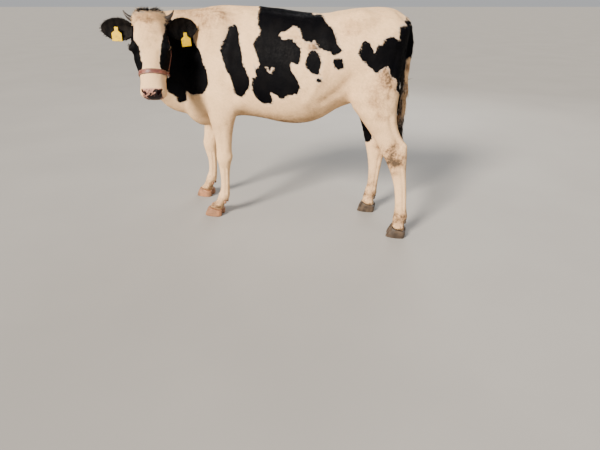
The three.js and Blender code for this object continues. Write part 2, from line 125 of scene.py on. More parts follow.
RIGHT_HIND = [
    [1150, 430, 640, 96, 92], [1000, 392, 670, 112, 96], [900, 380, 660, 124, 94],
    [820, 376, 640, 134, 86], [745, 392, 622, 144, 72], [670, 418, 616, 156, 56],
    [615, 436, 630, 163, 47], [575, 446, 646, 168, 42], [530, 458, 646, 172, 41],
    [470, 472, 628, 175, 38], [400, 488, 600, 176, 34], [310, 500, 586, 176, 30],
    [210, 500, 576, 176, 31], [165, 490, 574, 176, 38], [130, 482, 570, 176, 39],
    [95, 474, 558, 176, 35], [30, 468, 562, 176, 42],
]
LEGS = {
    "left_fore": (LEFT_FORE, -1), "right_fore": (RIGHT_FORE, 1),
    "left_hind": (LEFT_HIND, -1), "right_hind": (RIGHT_HIND, 1),
}
CORONET = {"front": 72, "back": 44}  # height of the hair line at the toe and at the heel
# Tail stations: x, y, z, half thickness
TAIL = [
    [630, 0, 1270, 28], [668, 0, 1256, 31], [690, -3, 1200, 28], [698, -5, 1100, 23],
    [694, -7, 970, 18], [690, -8, 850, 16], [690, -8, 770, 14], [692, -8, 700, 10], [694, -8, 640, 7],
]
# The head's own frame: from the poll along the face, to the cow's left, and ahead off the forehead
POLL = np.array([-736.0, -355.0, 1318.0])
FACING = np.array([0.34, -0.94, 0.0]) / math.hypot(0.34, 0.94)
FACE_TILT = math.radians(24)
ALONG = FACING * math.sin(FACE_TILT) - UP * math.cos(FACE_TILT)
AHEAD = FACING * math.cos(FACE_TILT) + UP * math.sin(FACE_TILT)
LEFT = np.cross(AHEAD, ALONG)
EYE = {"along": 200, "out": 98.5, "deep": -31, "radius": 17.5}
EYEBALL = {"sides": 56, "rings": 40, "pole": 0.03, "inset": 0.3, "bulge": 1.3, "cornea": 0.62}
SLIT = {"half": 18.2, "upper": 11.2, "lower": 8.6}  # the opening between the lids
FEET = {  # middle of each foot: x, y
    "left_fore": (-518, -160), "right_fore": (-732, 156),
    "left_hind": (747, -178), "right_hind": (515, 176),
}
NOSTRIL = {"along": 456, "out": 37, "deep": -8}
HORN = {
    "along": 34, "out": 74, "deep": -56, "length": 88, "rise": 46, "ahead": 14,
    "radius": 20, "tip": 3, "ring": 0.7, "rings": 42,  # height of the rings and their pace
}
EAR = {  # the cow's left ear is side 1, its right ear side -1
    "along": 84, "out": 88, "deep": -82, "lift": 0.06, "root": 34.0,
    "length": {1: 183, -1: 194}, "sweep": {1: 0.5, -1: 0.1},
}
# Ear stations: share of the length, half width, dish, thickness
EAR_LEAF = [
    [-0.16, 17, 10, 30], [0, 23, 17, 24], [0.12, 36, 24, 12], [0.28, 52, 26, 6], [0.45, 59, 24, 5],
    [0.62, 57, 20, 4.5], [0.78, 48, 15, 4], [0.91, 33, 9, 4], [1, 12, 4, 3.5],
]
# Where parts of the body meet, for the regions and the charts
CHEST = (760, 800)  # heights over which the legs' tops give way to the neck
LEG_TOP = 640
MIDDLE = 100  # x between the fore and the hind legs
NECK_CUTS = 8  # steps from one station of the neck to the next
SKIN_FOOT = 40  # the skin's lowest height, inside the hooves
TAIL_MIDDLE = (692, -6)
FACE_EDGE = -262  # y past which only the head lies
SIDES = ((1, "left"), (-1, "right"))  # the cow's own sides, as the head's frame counts them
GAZE_SPAN = 40.0  # millimetres across the map of an eye
LASHES = 23  # on each lid
# Lashes of the upper and the lower lid: length, slant, rise halfway and at the tip
LASH_LIDS = [(12, 0.45, 2.5, 4.5), (6, -0.7, -1, -2)]
# The halter: places on the head, steps round it, rounds of evening out, height over the skin
NOSEBAND = {"middle": (336, 0, -80), "steps": 120, "rounds": 14, "lift": 2.0}
CHEEK = {
    "top": (20, 0, -130), "foot": (330, 0, -98), "middle": 150, "past": 1.35, "end": 311,
    "steps": 180, "rounds": 40, "lift": 2.2,
}
RING = {"middle": (332, 0, -100), "lift": 8.5, "radius": 16, "wire": 2.9, "steps": 48, "sides": 14}
LOOP = {"steps": 20, "radius": 4.7, "width": (13, 14, 14), "thick": 2.2}
# Section of a strap: share of its width, share of its thickness
STRAP_SECTION = [(-0.5, 0.18), (-0.47, 0.0), (0.47, 0.0), (0.5, 0.18), (0.5, 0.82), (0.46, 1.0),
                 (-0.46, 1.0), (-0.5, 0.82)]
# Hooves and tags, in metres: size of the faces and rounds of smoothing; growth rings; rounded edge
HOOF_GRAIN = {"claw": (0.0026, 5), "dewclaw": (0.0017, 12)}
HOOF_RINGS = {"rise": 0.0007, "slant": 0.16, "pace": 620, "sink": 0.0006, "from": 0.006, "to": 0.02}
SOLE = 0.0035
TAG_EDGE = {"width": 0.0007, "steps": 3, "angle": math.radians(25)}
FLAT = math.radians(4)  # faces that turn less than this are joined
FLESH = ["trunk", "neck", "head", "tail_dock", "tail_switch", "left_ear", "right_ear"] + [
    f"{leg}_{part}" for leg in LEGS for part in ("upper", "cannon")]

# ---- Forms of the skin, in millimetres: place, reach, rise; a place off the middle is on both sides
LUMPS = [
    [(-420, 0, 1344), (130, 30, 40), 3], [(-400, 190, 960), (90, 60, 75), 9],
    [(-300, 200, 830), (56, 60, 60), -7], [(-640, 58, 700), (70, 40, 70), 7],
    [(-655, 0, 690), (90, 13, 90), -8], [(355, 190, 1222), (72, 80, 58), -16],
    [(430, 150, 1290), (44, 46, 36), 8], [(552, 160, 1246), (70, 60, 42), -9],
    [(560, 200, 1120), (56, 56, 60), 5], [(668, 84, 1212), (30, 34, 32), 7],
    [(642, 46, 1292), (48, 24, 34), -8], [(560, 205, 960), (80, 60, 90), 5],
    [(60, 0, 655), (46, 16, 24), 9], [(-560, 150, 1160), (60, 60, 90), -6],
    [(500, 0, 830), (70, 60, 60), 10],
]
# Ridges and furrows: points on the way, half width, rise
RIDGES = [
    [[(-400, 95, 1290), (-470, 150, 1150), (-545, 170, 1000), (-590, 170, 930)], 20, 5],
    [[(-330, 140, 1260), (-352, 190, 1100), (-352, 205, 950)], 32, -8],
    [[(-520, 90, 1290), (-600, 130, 1130), (-640, 140, 1010)], 26, -5],
    [[(-200, 0, 1338), (100, 0, 1308), (420, 0, 1332), (600, 0, 1326)], 20, 3],
    [[(-180, 62, 1322), (100, 62, 1296), (300, 60, 1306)], 26, -4],
    [[(236, 170, 1270), (272, 230, 1120), (240, 250, 960), (150, 240, 830)], 24, 5],
    [[(420, 190, 850), (330, 185, 790), (240, 160, 745)], 22, 8],
    [[(400, 200, 960), (330, 210, 880), (250, 220, 830)], 34, -9],
    [[(640, 130, 1150), (640, 190, 1000), (628, 200, 860)], 14, -5],
    [[(520, 200, 1180), (500, 215, 1040), (470, 215, 900)], 26, -4],
    [[(430, 150, 1290), (545, 130, 1290), (660, 84, 1224)], 18, 4],
    [[(-560, 60, 640), (-400, 60, 655), (-200, 60, 668)], 20, 3],
    [[(-690, 90, 760), (-735, 60, 860), (-770, 40, 980)], 20, -4],
]
RIBS = {"count": 9, "first": -292, "step": 56, "rise": 2.2, "width": 13}
# The way of a rib: back from its top, out, height
RIB_WAY = [(0, 150, 1250), (28, 215, 1120), (50, 245, 960), (44, 230, 860)]
# Lumps of a leg: height, turn round it from its front, reach, rise
LEG_LUMPS = {
    "fore": [
        [430, 0, 26, 5], [405, 60, 20, 3], [405, -60, 20, 3], [438, 176, 22, 7], [690, 60, 52, 7],
        [800, 170, 40, 8], [130, 180, 20, 5], [140, 90, 17, 3], [140, -90, 17, 3], [640, -40, 50, 4],
        [352, 90, 22, -3], [352, -90, 22, -3]],
    "hind": [
        [592, 180, 26, 7], [540, 40, 28, 4], [520, 100, 24, 4], [520, -100, 24, 5], [800, 14, 46, 9],
        [730, 70, 60, 6], [132, 180, 20, 5], [140, 90, 17, 3], [140, -90, 17, 3], [880, 60, 70, 5]],
}
# Furrows on both sides of a leg and round its foot: heights, turn, half width, rise
LEG_FURROWS = {
    "fore": [[np.linspace(176, 350, 5), 118, 9, -5], [(480, 560, 640), 100, 12, -3]],
    "hind": [[np.linspace(176, 480, 5), 118, 9, -5], [(600, 650, 700, 750), 132, 16, -9]],
}
FOOT_FURROWS = [[(96, 80), 180, 10, -5], [(40, 70, 96), 0, 6, -4]]
# Forms of the head, in its own frame: along, out, deep
HEAD_LUMPS = [
    [(112, 86, -44), (34, 24, 24), -5], [(172, 84, -14), (30, 20, 16), 4],
    [(196, 84, -142), (66, 44, 52), 6], [(306, 62, -132), (38, 30, 34), -6],
    [(296, 80, -78), (70, 34, 34), 7],
    [(158, 92, -40), (40, 24, 34), 7], [(250, 88, -58), (40, 22, 30), 6],
    [(150, 0, 8), (60, 38, 24), -3], [(438, 50, -44), (36, 30, 38), 4],
    [(456, 0, -118), (22, 44, 16), 5], [(-6, 0, -66), (22, 44, 32), 5],
    [(120, 70, -196), (40, 30, 30), -5], [(232, 66, -34), (18, 14, 16), -4],
    [(462, 0, -24), (16, 9, 22), -4], [(300, 0, -4), (90, 20, 16), 2],
]
HEAD_RIDGES = [
    [[(250, 82, -72), (312, 74, -74)], 12, 4], [[(240, 54, -8), (362, 46, -6)], 13, -4],
    [[(106, 80, -176), (180, 80, -200), (244, 72, -206), (310, 56, -168)], 14, 4],
    [[(218, 84, -50), (262, 76, -52), (300, 72, -56)], 6, -2.5],
    [[(150, 96, -50), (176, 104, -56), (200, 106, -62), (226, 100, -58)], 5, -2.2],
    [[(160, 90, -12), (184, 98, -8), (210, 96, -8), (228, 84, -14)], 4.5, -2.4],
]
MOUTH = [(479, 0, -78), (473, 28, -80), (460, 50, -86), (440, 66, -90), (416, 70, -92), (394, 68, -90)]
NECK_FOLDS = {"stations": [2.4, 3.0, 3.5, 4.1, 4.6], "width": 10, "rise": -4}

# ---- Markings: black patches on the trunk as (x, depth under the back line); right side negative
PATCHES = {
    "behind_shoulder": [
        (-347, 111), (-297, 108), (-280, 143), (-255, 215), (-244, 300), (-218, 335), (-197, 386),
        (-204, 439), (-255, 501), (-290, 500), (-310, 482), (-316, 432), (-327, 392), (-359, 338),
        (-381, 295), (-395, 257), (-384, 218), (-358, 179)],
    "saddle": [
        (-178, 7), (-176, -60), (-150, -150), (-80, -250), (20, -300), (80, -230), (96, -120), (104, -30),
        (140, 2), (178, 12), (214, 24), (236, 53), (269, 75), (299, 123), (337, 190), (348, 212),
        (306, 229), (274, 207), (214, 174), (195, 152), (196, 128), (170, 146), (130, 138), (87, 85),
        (60, 71), (19, 107), (-9, 114), (-16, 129), (3, 148), (65, 136), (114, 181), (117, 219), (108, 260),
        (93, 264), (67, 257), (61, 291), (103, 339), (116, 376), (110, 423), (78, 438), (44, 441),
        (23, 468), (-2, 470), (-52, 438), (-62, 447), (-47, 482), (-64, 519), (-112, 522), (-151, 505),
        (-181, 448), (-187, 416), (-177, 386), (-154, 364), (-163, 304), (-149, 325), (-118, 299),
        (-138, 276), (-168, 215), (-171, 186), (-135, 141), (-157, 91), (-172, 42)],
    "flank": [
        (161, 196), (199, 189), (223, 218), (242, 256), (228, 314), (206, 314), (172, 297), (146, 262)],
    "fleck": [(206, 336), (224, 328), (243, 341), (236, 356), (216, 352)],
    "stifle": [(296, 248), (329, 244), (351, 254), (360, 281), (351, 301), (313, 295)],
    "rump": [
        (464, 165), (497, 171), (515, 200), (525, 236), (540, 184), (564, 184), (569, 159), (593, 137),
        (622, 128), (648, 135), (642, 104), (641, 72), (662, 41), (684, -12), (720, -10), (730, 57),
        (730, 140), (720, 240), (700, 358), (666, 380), (649, 323), (622, 326), (602, 285), (567, 309),
        (549, 327), (523, 315), (493, 294), (456, 262), (436, 234), (451, 184)],
    "right_flank": [(230, -240), (330, -215), (404, -300), (396, -470), (300, -540), (196, -450)],
    "right_rump": [(500, -40), (600, -60), (700, -40), (730, -200), (700, -330), (600, -400), (520, -280)],
    "right_ribs": [(-330, -330), (-250, -300), (-190, -420), (-230, -600), (-330, -620), (-370, -460)],
}
WHITE_NICK = [(-85, 305, 0), (-62, 329, 0), (-41, 302, 0)]  # a small white v inside the saddle
# Black on the neck and shoulder, on both sides: x, z
NECK_PATCH = [
    (-588, 1150), (-548, 1108), (-527, 1077), (-522, 1031), (-494, 999), (-480, 951), (-482, 901),
    (-502, 853), (-531, 837), (-615, 826), (-672, 841), (-673, 782), (-719, 762), (-743, 781), (-742, 808),
    (-765, 829), (-800, 880), (-960, 900), (-960, 1290), (-759, 1272), (-700, 1256), (-645, 1226),
    (-608, 1190)]
# White down the face: out, along
BLAZE = [
    (-108, -30), (-106, 60), (-98, 112), (-81, 167), (-54, 210), (-49, 253), (-46, 306), (-58, 350),
    (58, 350), (51, 323), (54, 253), (63, 199), (80, 145), (84, 87), (78, 30), (72, -30)]
# Black low on the right hind leg: x, z
SHANK_PATCH = [(432, 770), (520, 752), (536, 650), (512, 520), (470, 500), (452, 560), (430, 650)]
# Soil on the coat, and painted shade under the belly: place, reach, strength
SOIL_AND_SHADE = [
    [(-600, -30, 1325), (210, 150, 100), 0.62], [(110, -235, 1180), (110, 60, 50), 0.95],
    [(215, -235, 1130), (60, 50, 60), 0.8], [(610, -190, 1000), (75, 70, 90), 0.62],
    [(-330, -150, 1290), (90, 80, 70), 0.45], [(390, -180, 1220), (110, 80, 90), 0.4],
    # The first entry below, under the belly, is mud together with painted shade of the unlit underside.
    [(-60, -60, 655), (380, 210, 90), 1.15], [(300, -240, 930), (150, 70, 120), 0.30],
    [(600, -180, 950), (100, 80, 210), 0.42], [(520, 0, 1340), (170, 110, 45), 0.35],
    [(-150, -60, 1345), (260, 80, 40), 0.25], [(672, -200, 520), (56, 60, 90), 1.5],
    [(735, -150, 480), (50, 60, 60), 0.9], [(600, 150, 520), (60, 80, 130), 1.3],
    [(-540, -160, 70), (100, 70, 90), 1.0], [(-740, 160, 70), (100, 70, 90), 0.9],
    [(515, 176, 130), (100, 70, 140), 0.9], [(747, -176, 95), (100, 70, 95), 1.3],
    [(-480, -120, 1245), (140, 130, 110), 0.42], [(560, -200, 800), (140, 100, 240), 0.30],
    [(-560, -160, 430), (50, 60, 70), 0.35], [(-730, 160, 430), (50, 60, 70), 0.35],
    # The second entry below, low on the right flank, is painted shade of the unlit far side together with
    # soil.
    [(-640, 0, 640), (90, 90, 60), 0.5], [(200, 250, 700), (240, 90, 90), 0.5],
]
# The same on the face, in its own frame
FACE_SOIL = [[(60, 10, 0), (26, 20, 40), 0.75], [(22, -42, 0), (26, 30, 60), 0.5]]

# ---- Locks of hair: place across, place along, length, half width, height and turn of each spike
LOCK_SPIKES = [(-0.36, 0, 0.84, 0.16, 0.07, -0.05), (0.02, -0.1, 1.1, 0.17, 0.08, 0.04),
               (0.37, 0.06, 0.78, 0.15, 0.07, 0.08)]
STRAND_SPIKES = [(-0.3, 0, 0.9, 0.16, 0.12, -0.1), (0.05, 0.05, 0.95, 0.17, 0.14, 0.1),
                 (0.36, -0.02, 0.8, 0.14, 0.12, 0.25)]
FRINGE_SPIKES = [(-0.3, 0, 0.95, 0.13, 0.12, -0.35), (0.05, 0.05, 0.95, 0.14, 0.14, 0.1),
                 (0.36, -0.02, 0.8, 0.12, 0.12, 0.5)]
STRAND_STEPS = ((0, 0.8), (0.35, 1.0), (0.7, 0.7), (1, 0))  # share of the length, share of the width
LOCK_INPUTS = [  # name, kind, value
    ("Lock", "Object", None), ("Density", "Float", 1000.0), ("Length", "Float", 0.02),
    ("Width", "Float", 0.004), ("Lift", "Float", 0.1), ("Spread", "Float", 0.3),
    ("Variation", "Float", 0.25), ("Seed", "Int", 0), ("Material", "Material", None),
]
UV_PATCH = 0.003  # size of a lock's own patch on the coat's map
SOFT_NORMAL = 0.22  # how much of a lock's own shape shows in its shading

# ---- Colours that hold for any animal of this kind
CAKED_MUD = (0.075, 0.050, 0.032)
THIN_WHITE = (0.42, 0.35, 0.29)  # white hair over dark skin, along the edge of a black patch
DEEP_BLACK = (0.0026, 0.0023, 0.0026)
# Dust on black hair; the same grey-brown is painted shade on the tail's black half and a painted sheen on
# the ears.
DUST_SHADE_SHEEN_BLACK = (0.034, 0.028, 0.023)
DARK_SKIN = (0.016, 0.011, 0.011)
LID_RIM = (0.010, 0.007, 0.007)
# Inside the nostrils: their dark lining together with painted shade of the openings.
NOSTRIL_LINING_AND_SHADE = (0.020, 0.008, 0.008)
IRIS = ((0.008, 0.0035, 0.002), (0.030, 0.012, 0.005))
EYE_WHITE = ((0.20, 0.15, 0.13), (0.12, 0.05, 0.04))
PUPIL = (0.0008, 0.0008, 0.0014)
DRIED_SOIL = (0.13, 0.085, 0.05)
THREAD = (0.46, 0.36, 0.26)
STEEL = (0.56, 0.55, 0.53)
RUST = (0.30, 0.20, 0.14)
TAG_SOIL = (0.23, 0.16, 0.06)

# ---- Stage, in metres
FLOOR_HALF = 150.0
SUN = {"way": (0.36, 0.80, -0.52), "spread": 16, "colour": (1.0, 0.92, 0.82)}
LAMPS = [  # name, place, watts, colour
    ["Fill light", (3.4, -2.2, 3.0), 65, (0.94, 0.96, 1.0)],
    ["Back light", (0.6, 4.2, 3.2), 140, (0.97, 0.98, 1.0)],
]
LAMP_SIZE, LAMP_AIM = 3.0, (0.0, 0.0, 0.8)
SKY = {"colour": (0.90, 0.91, 0.93, 1), "strength": 0.53}
CAMERA = {
    "place": (0.879, -2.711, 1.364), "down": 26.565, "turn": 14.1,  # degrees under the horizon and round
    "sensor": 36.0, "near": 0.05, "far": 100.0,
}


# ---- Settings a user would change
class CoatSettings(bpy.types.PropertyGroup):
    """Sizes and colours of the skin and the coat."""
    depth: FloatProperty(
        name="Coat depth", description="How far the skin lies under the coat's outline",
        default=0.004, unit="LENGTH")
    voxel: FloatProperty(
        name="Skin grain", description="Size of the skin's faces on the trunk",
        default=0.0122, unit="LENGTH")
    length: FloatProperty(
        name="Hair length", description="Length of a lock on the trunk", default=0.0155, unit="LENGTH")
    width: FloatProperty(
        name="Lock width", description="Width of a lock on the trunk", default=0.0046, unit="LENGTH")
    number: IntProperty(
        name="Locks", description="Locks of hair in the largest piece of the coat", default=15000)
    lift: FloatProperty(
        name="Lift", description="How far a lock's tip stands off the skin", default=0.075, subtype="ANGLE")
    white: FloatVectorProperty(
        name="White hair", description="Colour of the white hair",
        subtype="COLOR", default=(0.80, 0.52, 0.275))
    stain: FloatVectorProperty(
        name="Stain", description="Colour of the soil in white hair",
        subtype="COLOR", default=(0.34, 0.195, 0.098))
    black: FloatVectorProperty(
        name="Black hair", description="Colour of the black hair",
        subtype="COLOR", default=(0.0010, 0.0010, 0.0016))
    muzzle: FloatVectorProperty(
        name="Muzzle", description="Colour of the bare pink skin",
        subtype="COLOR", default=(0.42, 0.22, 0.16))


class FittingSettings(bpy.types.PropertyGroup):
    """Sizes and colours of the hooves, horns, halter and tags."""
    strap_width: FloatProperty(
        name="Noseband width", description="Width of the noseband", default=0.026, unit="LENGTH")
    cheek_width: FloatProperty(
        name="Cheek strap width", description="Width of the strap behind the ears",
        default=0.015, unit="LENGTH")
    strap_thick: FloatProperty(
        name="Strap thickness", description="Thickness of the leather", default=0.0036, unit="LENGTH")
    leather: FloatVectorProperty(
        name="Leather", description="Colour of the halter", subtype="COLOR", default=(0.115, 0.030, 0.018))
    tag: FloatVectorProperty(
        name="Ear tag", description="Colour of the ear tags", subtype="COLOR", default=(0.76, 0.48, 0.0))
    hoof: FloatVectorProperty(
        name="Hind hoof", description="Colour of the hind hooves",
        subtype="COLOR", default=(0.040, 0.027, 0.018))
    pale_hoof: FloatVectorProperty(
        name="Fore hoof", description="Colour of the fore hooves",
        subtype="COLOR", default=(0.42, 0.19, 0.092))
    horn: FloatVectorProperty(
        name="Horn", description="Colour of the horns", subtype="COLOR", default=(0.022, 0.017, 0.014))


class StageSettings(bpy.types.PropertyGroup):
    """Floor, light and camera."""
    floor: FloatVectorProperty(
        name="Floor", description="Colour of the floor", subtype="COLOR", default=(0.30, 0.285, 0.262))
    key: FloatProperty(name="Key light", description="Strength of the soft key light", default=9.9)
    lens: FloatProperty(name="Lens", description="Focal length of the camera", default=27.0)


# ---- Numbers and meshes
def place(points):
    """From the tables' millimetres to metres in the model's own frame."""
    return (np.asarray(points, float) + SHIFT) / 1000


def unit(v):
    v = np.asarray(v, float)
    return v / np.maximum(np.linalg.norm(v, axis=-1, keepdims=True), 1e-9)


def on_head(along, out, deep):
    """From the head's own frame to the body's."""
    across = np.multiply.outer(out, LEFT)
    return POLL + np.multiply.outer(along, ALONG) + across + np.multiply.outer(deep, AHEAD)


def head_of(co):
    """Along, out and deep on the head for each point."""
    q = co - POLL
    return np.stack([q @ ALONG, q @ LEFT, q @ AHEAD], -1)


def folded(co):
    """The points with both sides of the body laid on one."""
    return co * [1, 0, 1] + np.abs(co) * [0, 1, 0]


def smooth(x, low, high):
    t = np.clip((x - low) / (high - low), 0, 1)
    return t * t * (3 - 2 * t)


def around(count):
    return np.arange(count) * 2 * np.pi / count


def flow(rows, cuts):
    """Runs smoothly through a table of stations, with `cuts` steps in every span."""
    rows = np.array(rows, float)
    slope = np.vstack([rows[1:], rows[-1:]]) - np.vstack([rows[:1], rows[:-1]])
    slope[1:-1] /= 2
    t = np.arange(cuts)[:, None] / cuts
    lean = 3 * t * t - 2 * t ** 3
    spans = [(1 - lean) * a + lean * b + (t ** 3 - 2 * t * t + t) * sa + (t ** 3 - t * t) * sb
             for a, b, sa, sb in zip(rows, rows[1:], slope, slope[1:])]
    return np.vstack([*spans, rows[-1:]])


def oval(centre, u, v, half, rise, fall, up, down, sides):
    """One oval section: half width along u, rise and fall along v; roundness 2 is an ellipse."""
    a = 2 * np.pi * (np.arange(sides) + 0.5) / sides
    c, s = np.cos(a), np.sin(a)
    power = np.where(s >= 0, 2 / up, 2 / down)
    across = np.sign(c) * np.abs(c) ** power * half
    along = np.sign(s) * np.abs(s) ** power * np.where(s >= 0, rise, fall)
    return centre + across[:, None] * u + along[:, None] * v


def grid_faces(rings, sides, closed=False):
    """Faces between neighbouring rings of points, and from the last ring to the first if closed."""
    faces = []
    for i in range(rings if closed else rings - 1):
        near, far = i * sides, (i + 1) % rings * sides
        faces += [[near + j, near + (j + 1) % sides, far + (j + 1) % sides, far + j] for j in range(sides)]
    return faces


def tube(rings):
    """Vertices and faces of a closed tube through equal rings."""
    rings = np.array(rings, float)
    n, k = rings.shape[:2]
    verts = np.vstack([rings.reshape(-1, 3), rings[0].mean(0), rings[-1].mean(0)])
    last = (n - 1) * k
    first_cap = [[n * k, (b + 1) % k, b] for b in range(k)]
    last_cap = [[n * k + 1, last + b, last + (b + 1) % k] for b in range(k)]
    return verts, grid_faces(n, k) + first_cap + last_cap


def path_tube(rows, sides, up=UP):
    """A tube along a path of x y z, rise, fall, half width, roundness."""
    rings = []
    for i, row in enumerate(rows):
        along = unit(rows[min(i + 1, len(rows) - 1)][:3] - rows[max(i - 1, 0)][:3])
        v = unit(up - along * np.dot(up, along))
        rings.append(oval(row[:3], np.cross(v, along), v, row[5], row[3], row[4], row[6], row[6], sides))
    return tube(rings)


def ball(centre, radii, sides=24):
    turn = around(sides)
    rings = [centre + np.array(radii) * np.stack(
        [np.full(sides, math.cos(t)), math.sin(t) * np.cos(turn), math.sin(t) * np.sin(turn)], -1)
        for t in np.linspace(0, np.pi, sides // 2 + 1)[1:-1]]
    return tube(rings)


def joined(shapes):
    verts, faces, start = [], [], 0
    for v, f in shapes:
        verts.append(v)
        faces += [[i + start for i in face] for face in f]
        start += len(v)
    return np.vstack(verts), faces


@contextmanager
def edited(mesh):
    """A bmesh of the mesh to work on, written back to it at the end."""
    bm = bmesh.new()
    bm.from_mesh(mesh)
    yield bm
    bm.to_mesh(mesh)
    bm.free()


def mesh_of(name, verts, faces):
    """A mesh in metres from table millimetres, with its faces pointing out."""
    mesh = bpy.data.meshes.new(name)
    mesh.from_pydata(place(verts).tolist(), [], faces)
    with edited(mesh) as bm:
        bmesh.ops.remove_doubles(bm, verts=bm.verts, dist=MERGE)
        bmesh.ops.recalc_face_normals(bm, faces=bm.faces)
    mesh.shade_smooth()
    return mesh


def cad_copy(node, flatten=False):
    """A CAD node's mesh, merged, with its nearly flat faces joined if asked."""
    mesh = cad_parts[node].data.copy()
    with edited(mesh) as bm:
        bmesh.ops.remove_doubles(bm, verts=bm.verts, dist=MERGE)
        if flatten:
            bmesh.ops.dissolve_limit(bm, angle_limit=FLAT, verts=bm.verts, edges=bm.edges)
    return mesh


def dress(ob, material):
    ob.data.materials.clear()
    ob.data.materials.append(material)
    ob.data.shade_smooth()


def add_object(name, data, material=None):
    ob = bpy.data.objects.new(name, data)
    bpy.context.scene.collection.objects.link(ob)
    if material:
        data.materials.clear()
        data.materials.append(material)
    return ob


def applied(ob):
    """The object's modifiers made plain mesh."""
    bpy.context.view_layer.update()
    graph = bpy.context.evaluated_depsgraph_get()
    mesh = bpy.data.meshes.new_from_object(ob.evaluated_get(graph), preserve_all_data_layers=True,
                                           depsgraph=graph)
    ob.modifiers.clear()
    old, ob.data = ob.data, mesh
    mesh.name = ob.name
    bpy.data.meshes.remove(old)
    return mesh


def remeshed(name, mesh, size, rounds=0):
    """The mesh as one even skin of small faces, smoothed `rounds` times."""
    ob = add_object(name, mesh)
    voxels = ob.modifiers.new("Voxels", "REMESH")
    voxels.mode, voxels.voxel_size, voxels.use_smooth_shade = "VOXEL", size, True
    if rounds:
        soften = ob.modifiers.new("Soften", "SMOOTH")
        soften.factor, soften.iterations = 0.5, rounds
    applied(ob)
    return ob


def read(items, field, width=1, kind=float):
    """One field of all vertices, loops or faces, in `width` columns."""
    out = np.empty(len(items) * width, kind)
    items.foreach_get(field, out)
    return out.reshape(-1, width) if width > 1 else out


def corners(mesh):
    return read(mesh.vertices, "co", 3)


def move_corners(mesh, co):
    mesh.vertices.foreach_set("co", co.astype(np.float32).ravel())


def set_value(mesh, name, values, kind="FLOAT"):
    attribute = mesh.attributes.get(name) or mesh.attributes.new(name, kind, "POINT")
    field = {"FLOAT": "value", "FLOAT_VECTOR": "vector"}[kind]
    attribute.data.foreach_set(field, np.asarray(values, np.float32).ravel())


def value_of(mesh, name, width=1):
    return read(mesh.attributes[name].data, "vector" if width > 1 else "value", width, np.float32)


class Surface:
    """Points and triangles in table millimetres, with what shaping needs."""

    def __init__(self, mesh):
        self.co = corners(mesh) * 1000 - SHIFT
        mesh.calc_loop_triangles()
        self.tri = read(mesh.loop_triangles, "vertices", 3, int)

    def spread(self, corner_values):
        """Adds each triangle's value to its three corners."""
        out = np.zeros_like(self.co)
        for i in range(3):
            for k in range(3):
                out[:, k] += np.bincount(self.tri[:, i], corner_values[i][:, k], len(self.co))
        return out

    def normals(self):
        a, b, c = (self.co[self.tri[:, i]] for i in range(3))
        face = np.cross(b - a, c - a)
        return unit(self.spread([face] * 3))

    def relax(self, weight, rounds, keep_size=False):
        """Evens the surface out where the weight is high."""
        count = np.bincount(self.tri.ravel(), minlength=len(self.co))[:, None] * 2.0
        weight = np.broadcast_to(weight, len(self.co))[:, None]
        for i in range(rounds):
            a, b, c = (self.co[self.tri[:, k]] for k in range(3))
            middle = self.spread([b + c, a + c, a + b]) / count
            step = -0.53 if keep_size and i % 2 else 0.5
            self.co += (middle - self.co) * weight * step

    def push(self, amount):
        self.co += self.normals() * np.asarray(amount)[:, None]

    def write(self, mesh):
        move_corners(mesh, place(self.co))
        mesh.update()


def lump(co, centre, reach):
    return np.exp(-(((co - centre) / reach) ** 2).sum(-1))


def gap_to(co, way):
    """Distance from each point to a line through points."""
    way = np.array(way, float)
    best = np.full(len(co), FAR)
    for a, b in zip(way, way[1:]):
        ab = b - a
        t = np.clip((co - a) @ ab / (ab @ ab), 0, 1)
        best = np.minimum(best, np.linalg.norm(co - a - t[:, None] * ab, axis=1))
    return best


def ridge(co, way, width):
    return np.exp(-(gap_to(co, way) / width) ** 2)


def forms(co, lumps, ridges):
    """Rise of the skin over a table of lumps and a table of ridges."""
    rise = np.zeros(len(co))
    for centre, reach, height in lumps:
        rise += height * lump(co, centre, reach)
    for way, width, height in ridges:
        rise += height * ridge(co, way, width)
    return rise


def inside(points, outline):
    """Signed distance to a closed outline in two dimensions, positive inside; its corners are cut off."""
    outline = np.array(outline, float)
    nxt = np.roll(outline, -1, 0)
    cut = np.concatenate([0.88 * outline + 0.12 * nxt, 0.12 * outline + 0.88 * nxt], 1).reshape(-1, 2)
    best, odd = np.full(len(points), FAR), np.zeros(len(points), bool)
    for a, b in zip(cut, np.roll(cut, -1, 0)):
        ab, ap = b - a, points - a
        t = np.clip(ap @ ab / max(ab @ ab, 1e-9), 0, 1)
        best = np.minimum(best, np.linalg.norm(ap - t[:, None] * ab, axis=1))
        crosses = (a[1] > points[:, 1]) != (b[1] > points[:, 1])
        if crosses.any():
            x = a[0] + (points[:, 1] - a[1]) * ab[0] / (ab[1] if ab[1] else 1e-9)
            odd ^= crosses & (points[:, 0] < x)
    return np.where(odd, best, -best)


def sway(co, size, seed):
    """A smooth, irregular wave between about -1 and 1 over the body."""
    rng = np.random.default_rng(seed)
    total = np.zeros(len(co))
    for k in range(5):
        turn = unit(rng.normal(size=3)) * (2 * np.pi / size) * (1 + 0.5 * k)
        total += np.sin(co @ turn + rng.uniform(0, 6.28)) / (1 + 0.4 * k)
    return total / 2.2


def sways(co, *waves):
    """Several waves side by side, each of a size and a seed."""
    return np.stack([sway(co, size, seed) for size, seed in waves], -1)


# ---- Regions of the body
def back_line(x):
    rows = np.array(TRUNK)
    return np.interp(x, rows[:, 0], rows[:, 1])


def under_back(co):
    """Depth under the back line, negative on the right side."""
    x, y, z = co.T
    return (back_line(x) - z) * np.where(y < 0, 1, -1)


